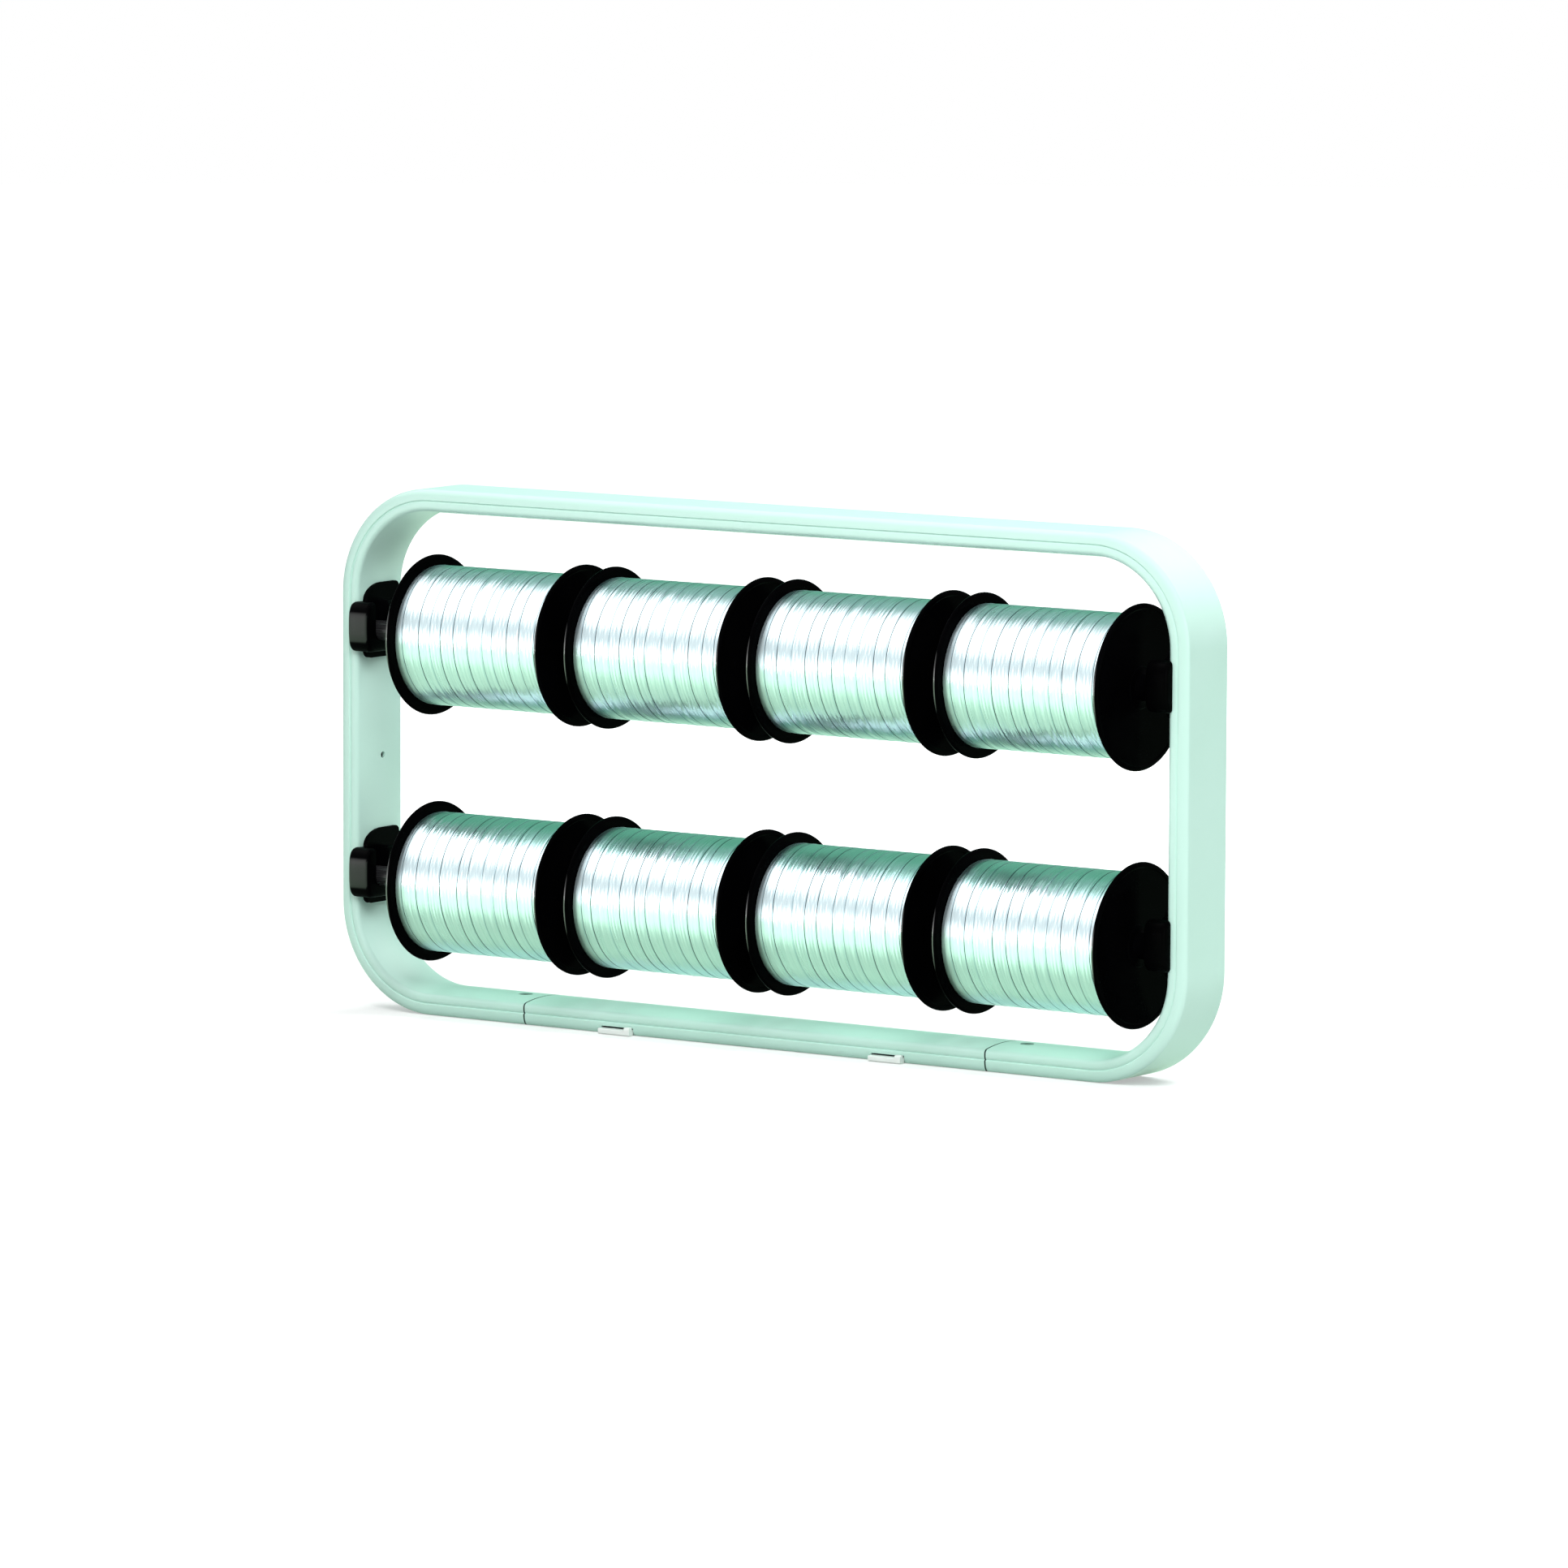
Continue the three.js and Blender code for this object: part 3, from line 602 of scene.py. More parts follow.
def rail_cutter(lift):
    """The frame grown by the seat gap, lowered so that a rod at this height lies at zero."""
    edge, gap = BAND_HALF_DEPTH, SEAT_GAP
    half = [(edge + gap, -gap), (edge + gap, EDGE_SPACE_RISE)]
    half += [(depth * MM, rise * MM) for depth, rise in LIP_SPACE]
    half += [(depth * MM, crown(depth * MM) + gap) for depth in CROWN_SPACE_DEPTHS]
    points = mirrored_outline(half, BAND_CROWN + gap)
    piece = outline("rail_space", section_at(loop_start, points), filled=False)
    sweep_round_frame(piece, loop_start)
    close_band_ends(piece, loop_start, bpy.ops.mesh.edge_face_add)
    move(piece, z=-lift)
    return piece


# %% Make the right-hand holder
def slot_view():
    radius, lead = ROD_RADIUS + SEAT_GAP, 1.5 * MM
    top = NOSE_UP + MM
    return (arc(0, 0, radius, 180, 360, 20)
            + [(radius, NOSE_UP - lead), (radius + lead, top)]
            + [(-radius - lead, top), (-radius, NOSE_UP - lead)])


holder = side_view("holder_right", plate_view(), PLATE_INNER_X, NOSE_OUTER_X - PLATE_INNER_X)
nose = side_view("holder_nose", nose_view(), NOSE_INNER_X, NOSE_OUTER_X - NOSE_INNER_X)
round_edges(nose, NOSE_EDGE_ROUND, segments=6, angle=50)
cut(holder, nose, operation="UNION")
for row in ROWS:
    cut(holder, rail_cutter(ROD_Z[row]))
slot_start = NOSE_INNER_X - MM
cut(holder, side_view("rod_slot", slot_view(), slot_start, PLATE_INNER_X - slot_start))
screw_hole = (PLATE_INNER_X, HOLDER_SCREW_Y, HOLDER_SCREW_UP)
cut(holder, rod_cutter(SCREW_HOLE_RADIUS, 20 * MM, screw_hole, "X"))
close_skin(holder, 0.01 * MM)
round_edges(holder, HOLDER_EDGE_ROUND, segments=4, angle=40)
close_skin(holder, 0.01 * MM)
smooth(holder, 38)
report(holder)

# %% [markdown]
# The left-hand holders are mirror images of the right-hand ones. A highlight is painted on the fronts
# of their noses: an attribute marks the corners there, and the black plastic's material makes them
# glossier.

# %% Mirror, mark and copy the holders
SHEEN_DEPTH = 0.6 * MM


# Marks the corners where a highlight is painted into the gloss.
def mark_painted_sheen(piece, test):
    marks = piece.data.attributes.new("painted_sheen", "FLOAT", "POINT")
    for corner, mark in zip(piece.data.vertices, marks.data):
        mark.value = float(test(corner))


left_holder = mirrored_in_x(holder, "holder_left")
nose_front = min(corner.co.y for corner in left_holder.data.vertices)
mark_painted_sheen(left_holder, lambda corner: corner.co.y < nose_front + SHEEN_DEPTH)
holders = {}
for row in ROWS:
    for name, original in (("right", holder), ("left", left_holder)):
        holders[f"rod_holder_{row}_{name}"] = moved_copy(
            original, f"hooked_holder_{row}_{name}", z=ROD_Z[row])
for original in (holder, left_holder):
    bpy.data.objects.remove(original)
print("holders:", len(holders), "with the noses' fronts at y =", round(nose_front / MM, 1), "mm")

# %% [markdown]
# ## Rods
# A rod is a plain bar with chamfered ends, almost wholly hidden in the reels. Half of its side view is
# spun about its own line, as on a lathe. The tip is given as radius and inset, in millimetres.

# %% Turn the rods
ROD_TIP = ((0.0, 0.0), (4.8, 0.0), (5.4, 0.2))


def both_ends(half):
    """A profile from its left end to its right end, out of its right half from the end inwards."""
    return [(radius, -along) for radius, along in half] + half[::-1]


rods = {}
rod_end = size_of("rod_upper").x / 2
rod_tip = [(radius * MM, rod_end - inset * MM) for radius, inset in ROD_TIP]
rod_profile = both_ends(rod_tip + [(ROD_RADIUS, rod_end - MM)])
for row in ROWS:
    rods[row] = turned(
        f"chamfered_rod_{row}", rod_profile, (0, 0, ROD_Z[row]), (1, 0, 0), steps=64)
    smooth(rods[row], 25)
print("rod length in mm:", round(2 * rod_end / MM, 1))

# %% [markdown]
# ## Reels
# A reel is moulded in one piece: two round flanges, the core that the ribbon is wound on, and a short
# neck at each end that keeps the next reel away. Everything on it is round, so its section is drawn
# once and spun about the rod. The flange's rim is a full round bead, because its thin highlight is what
# shows each black reel's edge. The outer faces are dished a little, with a raised ring at the neck.

# %% Draw the reel's section
FLANGE_RADIUS = size_of("reel_upper_1").z / 2
FLANGE_THICKNESS = 2.8 * MM
NECK_LENGTH = 9.2 * MM
NECK_RADIUS = 7.6 * MM
CORE_RADIUS = 12 * MM
bore_radius = ROD_RADIUS + 0.4 * MM
neck_end = size_of("reel_upper_1").x / 2
flange_out = neck_end - NECK_LENGTH
flange_in = flange_out - FLANGE_THICKNESS


def reel_half():
    rim = FLANGE_THICKNESS / 2
    dish = flange_out - 0.5 * MM
    rim_foot = FLANGE_RADIUS - 2.8 * MM
    return [
        (CORE_RADIUS, flange_in - MM), (CORE_RADIUS + 0.3 * MM, flange_in - 0.3 * MM),
        (CORE_RADIUS + MM, flange_in), (rim_foot, flange_in),
        *arc(FLANGE_RADIUS - rim, flange_out - rim, rim, -82, 82, 12),
        (rim_foot, flange_out), (rim_foot - 0.7 * MM, dish),
        (NECK_RADIUS + 5 * MM, dish), (NECK_RADIUS + 4.3 * MM, flange_out),
        (NECK_RADIUS + 0.8 * MM, flange_out), (NECK_RADIUS + 0.2 * MM, flange_out + 0.2 * MM),
        (NECK_RADIUS, flange_out + 0.8 * MM), (NECK_RADIUS, neck_end - 0.4 * MM),
        (NECK_RADIUS - 0.4 * MM, neck_end), (bore_radius + 0.3 * MM, neck_end),
        (bore_radius, neck_end - 0.3 * MM),
    ]


reel_profile = reel_half() + [(radius, -x) for radius, x in reversed(reel_half())]
print("reel section corners:", len(reel_profile))

# %% Spin one reel and set a copy at each place
# The left edges of the rims get a painted highlight: these corners are marked for more gloss.
SHEEN_RIM_WIDTH = 0.9 * MM


def at_left_rim(corner):
    radius = math.hypot(corner.co.y, corner.co.z)
    return radius > FLANGE_RADIUS - SHEEN_RIM_WIDTH and corner.normal.x < 0.2


def set_copies(master, node_start, name_start):
    """Copies the master to each reel's place and removes it."""
    copies = {}
    for row in ROWS:
        for i in REELS:
            x = middle_of(f"{node_start}_{row}_{i}").x
            copies[row, i] = moved_copy(master, f"{name_start}_{row}_{i}", x, ROD_Z[row])
    bpy.data.objects.remove(master)
    return copies


master_reel = turned("reel", reel_profile, (0, 0, 0), (1, 0, 0), steps=96)
smooth(master_reel, 32)
mark_painted_sheen(master_reel, at_left_rim)
reels = set_copies(master_reel, "reel", "moulded_reel")
print("reels:", len(reels), "with", len(reels["upper", 1].data.polygons), "faces each")

# %% [markdown]
# ## Wound ribbon
# The inside of each winding is a plain packed roll, which only shows through the hairlines between the
# turns. Its film is given a dark tone, which is painted shade for those hairlines. The outer layer is
# one strip of metallised film, wound in twelve turns from flange to flange.
# It could be a texture on a smooth cylinder, but then every turn would shine alike. As real geometry,
# each turn leans a little over the next one, wanders a little, and gets its own highlight.

# %% Make the inner rolls
LAYER_RADIUS = size_of("ribbon_layer_upper_1").y / 2
LAYER_TURNS = 12
RIBBON_CLEARANCE = 0.5 * MM
ROLL_BELOW_LAYER = 0.75 * MM
ROLL_CHAMFER = 0.4 * MM
layer_half = flange_in - RIBBON_CLEARANCE
roll_radius = LAYER_RADIUS - ROLL_BELOW_LAYER
roll_bore = CORE_RADIUS + SEAT_GAP

roll_profile = both_ends([(roll_bore, layer_half), (roll_radius - ROLL_CHAMFER, layer_half),
                          (roll_radius, layer_half - ROLL_CHAMFER)])
master_roll = turned("roll", roll_profile, (0, 0, 0), (1, 0, 0), steps=96)
smooth(master_roll, 30)
rolls = set_copies(master_roll, "ribbon_roll", "packed_roll")
print("roll radius in mm:", round(roll_radius / MM, 2))

# %% [markdown]
# The strip starts as its own small cross-section, which the Screw modifier carries along a helix. The
# corners are then moved in code. On the real reel the turns overlap by chance, so the seen part of each
# is wider or narrower: here both edges follow one slow seeded curve, a turn apart, so that a turn's
# right-hand edge always lies over the start of the next. Three attributes keep where each corner is:
# along the winding, and how far from the left and from the right edge. The film's material reads them.

# %% Wind the outer layer
STRIP_THICKNESS = 0.12 * MM
STRIP_OVERLAP = 0.2 * MM
STRIP_LEAN = 0.15 * MM
STRIP_WANDER = 3.4 * MM
STRIP_LEAST = 0.3 * MM
WANDER_WAVES = 5
STEPS_PER_TURN = 96
ACROSS = (0.0, 0.05, 0.2, 0.5, 0.8, 0.95, 1.0)
strip_pitch = 2 * layer_half / (LAYER_TURNS - 1)


def slow_waves(seed):
    """Waves as (rate in waves per turn, phase, size), drawn from this seed."""
    chance = random.Random(seed)
    return [(chance.uniform(0.1, 0.7), chance.uniform(0, math.tau), chance.uniform(0.4, 1.0))
            for _ in range(WANDER_WAVES)]


def wave(turn, waves):
    total = sum(size for _, _, size in waves)
    return sum(size * math.sin(rate * math.tau * turn + phase) for rate, phase, size in waves) / total


# The strip's corners as (across, below the top): along its top, then back along its underside.
section = [(a, 0.0) for a in ACROSS] + [(a, 1.0) for a in reversed(ACROSS[::2])]
strip = outline("film", [(a * strip_pitch, LAYER_RADIUS, 0) for a, _ in section], filled=False)
apply_modifier(strip, "SCREW", axis="X", angle=math.tau, screw_offset=strip_pitch,
               iterations=LAYER_TURNS, steps=STEPS_PER_TURN, render_steps=STEPS_PER_TURN,
               use_merge_vertices=False)
ring_count = len(strip.data.vertices) // len(section)
print("strip cross-sections:", ring_count, "of", len(section), "corners")


# %% Shape each reel's strip and keep where its corners are
def shape_strip(piece, seed):
    wander = slow_waves(seed)
    along, from_left, from_right = (
        piece.data.attributes.new(name, "FLOAT", "POINT")
        for name in ("along", "from_left", "from_right"))

    def edge_at(turn):
        free = min(max(turn - 1, 0), LAYER_TURNS - 1)
        fade = min(1.0, free, LAYER_TURNS - 1 - free)
        return free * strip_pitch - layer_half + fade * STRIP_WANDER * wave(turn, wander)

    for index, corner in enumerate(piece.data.vertices):
        ring, place = divmod(index, len(section))
        share, below = section[place]
        turn = ring / STEPS_PER_TURN
        left = min(edge_at(turn), layer_half - STRIP_LEAST)
        right = max(edge_at(turn + 1), left + STRIP_LEAST)
        hidden = min(STRIP_OVERLAP, layer_half - right)
        x = left + share * (right + hidden - left)
        radius = LAYER_RADIUS - STRIP_LEAN * (1 - share) - below * STRIP_THICKNESS
        angle = turn * math.tau
        corner.co = (x, radius * math.cos(angle), radius * math.sin(angle))
        along.data[index].value = turn
        from_left.data[index].value = (x - left) / MM
        from_right.data[index].value = (right + hidden - x) / MM


layers = {}
for number, (row, i) in enumerate(reels):
    layer = copy_of(strip, f"wound_film_{row}_{i}")
    shape_strip(layer, seed=number + 1)
    for end_ring in (0, ring_count - 1):
        first = end_ring * len(section)
        ring = {tuple(layer.data.vertices[first + k].co) for k in range(len(section))}
        select_corners(layer, lambda co: tuple(co) in ring)
        bpy.ops.mesh.edge_face_add()
        leave_edit()
    edit_all(layer)
    bpy.ops.mesh.normals_make_consistent(inside=False)
    leave_edit()
    move(layer, middle_of(f"ribbon_layer_{row}_{i}").x, ROD_Z[row])
    smooth(layer, 50)
    layers[row, i] = layer
bpy.data.objects.remove(strip)
report(layers["upper", 1])

# %% [markdown]
# ## Finishes
# A finish is a node tree. Two effects come back in several finishes, so each is a node group that is
# built once: a fine grain that no moulded or painted surface is without, and the straight lines that
# drawing, rolling or winding leaves. The groups only put out values that vary over the surface. Every
# constant stays on the shader's own sockets.

# %% Helpers for node trees
NOISE_SPAN = (0.3, 0.7)


def fill(node, inputs):
    """Gives each named input another node's output or a constant."""
    for label, value in inputs.items():
        if isinstance(value, bpy.types.NodeSocket):
            node.id_data.links.new(value, node.inputs[label])
        else:
            node.inputs[label].default_value = value


def add(tree, kind, inputs=None, **settings):
    node = tree.nodes.new(f"ShaderNode{kind}")
    for key, value in settings.items():
        setattr(node, key, value)
    fill(node, inputs or {})
    return node


def calculate(tree, operation, *terms):
    return add(tree, "Math", dict(enumerate(terms)), operation=operation).outputs["Value"]


def map_range(tree, source, low, high, start=0.0, end=1.0):
    """Turns start into low and end into high, and what lies between in proportion."""
    node = add(tree, "MapRange", {"Value": source, "From Min": start, "From Max": end,
                                  "To Min": low, "To Max": high})
    return node.outputs["Result"]


def ramp(tree, source, stops):
    node = add(tree, "ValToRGB", {"Fac": source})
    while len(node.color_ramp.elements) < len(stops):
        node.color_ramp.elements.new(0.5)
    for element, (position, tone) in zip(node.color_ramp.elements, stops):
        element.position = position
        element.color = (*tone, 1) if isinstance(tone, tuple) else (tone, tone, tone, 1)
    return node.outputs["Color"]


def bump(tree, height, strength, distance):
    node = add(tree, "Bump", {"Height": height, "Strength": strength, "Distance": distance})
    return node.outputs["Normal"]


def multiplied(tree, colour, by):
    node = add(tree, "Mix", {"Factor": 1.0, "A": colour, "B": by},
               data_type="RGBA", blend_type="MULTIPLY")
    return node.outputs["Result"]


# %% Start and feed a finish
def shade(red, green, blue):
    """Turns a screen colour of 0 to 255 into the linear colour that a shader takes."""
    parts = [part / 255 for part in (red, green, blue)]
    return tuple(c / 12.92 if c <= 0.04045 else ((c + 0.055) / 1.055) ** 2.4 for c in parts)


def feed(shader, **inputs):
    """Fills the shader's inputs. In their names here, _ stands for a space."""
    fill(shader, {label.replace("_", " "): value for label, value in inputs.items()})


def new_finish(name, colour, roughness, metallic=0.0, level=0.5):
    finish = bpy.data.materials.new(name)
    finish.use_nodes = True
    shader = finish.node_tree.nodes["Principled BSDF"]
    feed(shader, Base_Color=(*colour, 1), Roughness=roughness, Metallic=metallic,
         Specular_IOR_Level=level)
    finish.diffuse_color = (*colour, 1)
    return finish, finish.node_tree, shader


# %% Build the two shared groups
def new_group(name, inputs, outputs):
    tree = bpy.data.node_groups.new(name, "ShaderNodeTree")
    for label, value in inputs.items():
        socket = tree.interface.new_socket(label, in_out="INPUT", socket_type="NodeSocketFloat")
        socket.default_value = value
    for label in outputs:
        tree.interface.new_socket(label, in_out="OUTPUT", socket_type="NodeSocketFloat")
    return tree, tree.nodes.new("NodeGroupInput").outputs, tree.nodes.new("NodeGroupOutput").inputs


def build_grain():
    """Small pits for the bump, and large soft patches for the tone."""
    tree, given, gives = new_group(
        "fine_grain", {"Scale": 900.0, "Softness": 0.5}, ("Height", "Patches"))
    place = add(tree, "TexCoord").outputs["Object"]
    pits = add(tree, "TexNoise", {"Vector": place, "Scale": given["Scale"],
                                  "Roughness": given["Softness"], "Detail": 3})
    clouds = add(tree, "TexNoise", {"Vector": place, "Scale": 22, "Detail": 4})
    tree.links.new(pits.outputs["Fac"], gives["Height"])
    tree.links.new(clouds.outputs["Fac"], gives["Patches"])
    return tree


def build_lines():
    """Fine straight lines along X, as drawing or rolling leaves them."""
    tree, given, gives = new_group("drawn_lines", {"Fineness": 2500.0}, ("Lines",))
    place = add(tree, "TexCoord").outputs["Object"]
    stretched = add(tree, "Mapping", {"Vector": place, "Scale": (0.02, 1, 1)})
    noise = add(tree, "TexNoise", {"Vector": stretched.outputs["Vector"],
                                   "Scale": given["Fineness"], "Detail": 2})
    tree.links.new(noise.outputs["Fac"], gives["Lines"])
    return tree


fine_grain, drawn_lines = build_grain(), build_lines()


def grain_of(tree, scale, softness):
    node = add(tree, "Group", {0: scale, 1: softness}, node_tree=fine_grain)
    return node.outputs["Height"], node.outputs["Patches"]


def lines_of(tree, fineness):
    return add(tree, "Group", {0: fineness}, node_tree=drawn_lines).outputs["Lines"]


print("groups:", [group.name for group in (fine_grain, drawn_lines)])

# %% [markdown]
# The band is powder-coated in a pale mint. Such paint is satin and never quite flat: its gloss varies
# with a very fine grain, and its tone drifts a little from place to place. Where the straight bottom
# piece meets the band, a mask in the paint draws a dark line, which is painted shade for the narrow
# joint.

# %% Mint paint
SEAM_SHADE_HALF = 0.55 * MM


def painted_seam_shade(tree):
    """White everywhere but at the two joints, where it falls to a dark grey-green: painted shade in the
    joints.
    """
    place = add(tree, "SeparateXYZ", {"Vector": add(tree, "TexCoord").outputs["Object"]}).outputs
    low_part = calculate(tree, "LESS_THAN", place["Z"], 2 * BAND_CROWN)
    side = calculate(tree, "ABSOLUTE", place["X"])
    at_joint = calculate(tree, "COMPARE", side, SEAM_X, SEAM_SHADE_HALF)
    both = calculate(tree, "MULTIPLY", low_part, at_joint)
    return ramp(tree, both, [(0.0, 1.0), (1.0, (0.05, 0.08, 0.08))])


def mint_paint():
    finish, tree, shader = new_finish("mint_paint", shade(194, 231, 219), 0.3)
    height, patches = grain_of(tree, 420.0, 0.35)
    tone = ramp(tree, patches, [(0.2, shade(192, 230, 217)), (0.8, shade(196, 232, 221))])
    feed(shader, Base_Color=multiplied(tree, tone, painted_seam_shade(tree)),
         Roughness=map_range(tree, height, 0.28, 0.33, *NOISE_SPAN),
         Normal=bump(tree, height, 0.05, 0.04 * MM))
    return finish


mint = mint_paint()
print("nodes in the mint paint:", len(mint.node_tree.nodes))

# %% [markdown]
# The black plastics are almost fully black and hardly shine, so their shape shows only through painted
# highlights: the material is made glossy only on the upright parts of the rims' left edges and on the
# fronts of the left-hand noses, where the highlights should show.

# %% Black mouldings
BLACK_IOR = 2.2
UPRIGHT_STOPS = [(0.12, 1.0), (0.35, 0.0)]


def black_plastic(name, gloss_low, gloss_high, grain_scale, level, sheen_level):
    finish, tree, shader = new_finish(name, (0.0006, 0.0006, 0.0008), gloss_low, level=level)
    height, patches = grain_of(tree, grain_scale, 0.6)
    normal = add(tree, "SeparateXYZ", {"Vector": add(tree, "NewGeometry").outputs["Normal"]})
    steepness = calculate(tree, "ABSOLUTE", normal.outputs["Z"])
    # Painted highlight: where marked and upright, the plastic reflects more.
    painted_sheen = add(tree, "Attribute", attribute_name="painted_sheen").outputs["Fac"]
    shine = calculate(tree, "MULTIPLY", painted_sheen, ramp(tree, steepness, UPRIGHT_STOPS))
    tone = ramp(tree, patches, [(0.35, (0.0004, 0.0004, 0.0005)), (0.7, (0.001, 0.001, 0.0013))])
    feed(shader, Base_Color=tone, IOR=BLACK_IOR,
         Roughness=map_range(tree, patches, gloss_low, gloss_high, *NOISE_SPAN),
         Normal=bump(tree, height, 0.1, 0.03 * MM),
         Specular_IOR_Level=map_range(tree, shine, level, sheen_level))
    return finish


reel_black = black_plastic(
    "glossy_reel_plastic", 0.12, 0.2, 900.0, level=0.001, sheen_level=0.4)
holder_black = black_plastic(
    "satin_holder_plastic", 0.28, 0.38, 1300.0, level=0.003, sheen_level=0.1)
print("black plastics:", reel_black.name, holder_black.name)

# %% [markdown]
# The small parts are plainer. The clips are white plastic. Screws, splice bars and rods are drawn or
# turned metal, whose fine lines show in both tone and gloss, and the rods are coated black.

# %% White clips, steel screws, rods and splice bars
def white_plastic():
    finish, tree, shader = new_finish("white_clip_plastic", shade(240, 244, 242), 0.4)
    height, patches = grain_of(tree, 1100.0, 0.5)
    tone = ramp(tree, patches, [(0.3, shade(236, 241, 238)), (0.7, shade(244, 248, 246))])
    feed(shader, Base_Color=tone, Normal=bump(tree, height, 0.1, 0.03 * MM))
    return finish


def drawn_metal(name, dark, light, gloss, fineness):
    finish, tree, shader = new_finish(name, light, gloss, metallic=1.0)
    lines = lines_of(tree, fineness)
    feed(shader, Base_Color=ramp(tree, lines, [(0.35, dark), (0.65, light)]),
         Roughness=map_range(tree, lines, gloss - 0.06, gloss + 0.06, *NOISE_SPAN),
         Normal=bump(tree, lines, 0.15, 0.02 * MM))
    return finish


def rod_coat():
    finish, tree, shader = new_finish("black_rod_coat", (0.012, 0.012, 0.013), 0.25, level=0.3)
    lines = lines_of(tree, 1800.0)
    tone = ramp(tree, lines, [(0.3, (0.009, 0.009, 0.010)), (0.7, (0.02, 0.02, 0.021))])
    feed(shader, Base_Color=tone, Roughness=map_range(tree, lines, 0.2, 0.32, *NOISE_SPAN))
    return finish


clip_white, rod_black = white_plastic(), rod_coat()
screw_metal = drawn_metal("dull_screw_steel", (0.35, 0.37, 0.37), (0.5, 0.53, 0.52), 0.34, 1500.0)
splice_metal = drawn_metal("splice_aluminium", (0.5, 0.52, 0.52), (0.66, 0.68, 0.68), 0.42, 2600.0)
print("metals:", screw_metal.name, splice_metal.name)

# %% [markdown]
# The ribbon is a metallised film, so its colour comes from what it mirrors: white where it faces a lit
# card, pale green where it faces the table. The strips curl a little across their width, so what they
# mirror is smeared along the reel much more than round it. Three things make it look wound. Fine
# streaks run along each turn. A thin dark line, now strong and now weak, is painted shade along the
# joint where a turn comes out from under the one before, and a softer bluish band beside it is a
# painted darker reflection. And the film is drawn slightly uneven, so the edges of its reflections
# are frayed: the normal is tilted a little along the winding, by a noise that is fine across the
# strip and long along it.

# %% Uneven film and its joints
def strip_noise(tree, along, across, along_scale, across_scale, detail):
    place = add(tree, "CombineXYZ", {"X": along, "Y": across}).outputs["Vector"]
    stretched = add(tree, "Mapping", {"Vector": place, "Scale": (along_scale, across_scale, 1)})
    noise = add(tree, "TexNoise", {"Vector": stretched.outputs["Vector"],
                                   "Scale": 1.0, "Detail": detail})
    return noise.outputs["Fac"]


def vector_math(tree, operation, inputs):
    return add(tree, "VectorMath", inputs, operation=operation).outputs["Vector"]


def frayed_normal(tree, noise, amount):
    normal = add(tree, "NewGeometry").outputs["Normal"]
    round_the_reel = vector_math(tree, "CROSS_PRODUCT", {0: normal, 1: (1, 0, 0)})
    tilt = map_range(tree, noise, -amount, amount)
    offset = vector_math(tree, "SCALE", {0: round_the_reel, "Scale": tilt})
    tilted = vector_math(tree, "ADD", {0: normal, 1: offset})
    return vector_math(tree, "NORMALIZE", {0: tilted})


def joint_shade(tree, along, from_left, from_right):
    """Paints shade as a thin dark line at the joint, by an amount that varies along it, and paints a
    softer bluish shade beside it.
    """
    turn = calculate(tree, "FLOOR", along)
    strength = ramp(tree, strip_noise(tree, along, turn, 1.1, 3.7, 1.0),
                    [(0.4, 0.92), (0.51, 0.55), (0.61, 0.05)])
    line = ramp(tree, calculate(tree, "MULTIPLY", from_left, 0.5),
                [(0.1, 0.0), (0.27, 0.0), (0.32, 1.0)])
    thin = add(tree, "Mix", {"Factor": line, "A": strength, "B": (1, 1, 1, 1)}, data_type="RGBA")
    beside = ramp(tree, calculate(tree, "MULTIPLY", from_right, 0.5),
                  [(0.0, (0.75, 0.82, 0.86)), (0.45, 1.0)])
    return multiplied(tree, thin.outputs["Result"], beside)


# %% Silvery film and the roll under it
FILM_TONE = (0.71, 0.86, 0.90)


def ribbon_film():
    finish, tree, shader = new_finish("silver_film", FILM_TONE, 0.3, metallic=1.0)
    along, from_left, from_right = (
        add(tree, "Attribute", attribute_name=name).outputs["Fac"]
        for name in ("along", "from_left", "from_right"))
    streaks = strip_noise(tree, along, from_left, 3.0, 0.9, 3.0)
    tone = ramp(tree, streaks,
                [(0.3, (0.62, 0.78, 0.82)), (0.5, FILM_TONE), (0.7, (0.77, 0.91, 0.94))])
    frays = strip_noise(tree, along, from_left, 2.0, 0.8, 2.0)
    feed(shader,
         Base_Color=multiplied(tree, tone, joint_shade(tree, along, from_left, from_right)),
         Roughness=map_range(tree, streaks, 0.26, 0.36, *NOISE_SPAN), Anisotropic=0.85,
         Tangent=add(tree, "CombineXYZ", {"X": 1.0}).outputs["Vector"],
         Normal=frayed_normal(tree, frays, 0.3))
    return finish


# The packed film's dark tone is painted shade: it only shows in the hairlines between the outer turns.
def shade_painted_roll_film():
    finish, tree, shader = new_finish("packed_film_painted_shade", (0.10, 0.13, 0.13), 0.35, metallic=1.0)
    height, _ = grain_of(tree, 800.0, 0.5)
    tone = ramp(tree, height, [(0.3, (0.07, 0.09, 0.09)), (0.7, (0.14, 0.17, 0.17))])
    feed(shader, Base_Color=tone)
    return finish


film, shade_painted_inner_film = ribbon_film(), shade_painted_roll_film()
print("nodes in the film:", len(film.node_tree.nodes))

# %% [markdown]
# ## What moves with what
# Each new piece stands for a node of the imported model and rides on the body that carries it. The frame
# pieces stay put, a rod lifts out of its holders, and each reel turns on its rod with its ribbon. The
# splice bars are hidden in the band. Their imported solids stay, and only take a finish.

# %% Tie the pieces to their nodes and bodies, and paint them
def paint(piece, finish):
    piece.data.materials.clear()
    piece.data.materials.append(finish)


def stand_for(piece, node, body, finish):
    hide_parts(node)
    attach(piece, body)
    paint(piece, finish)


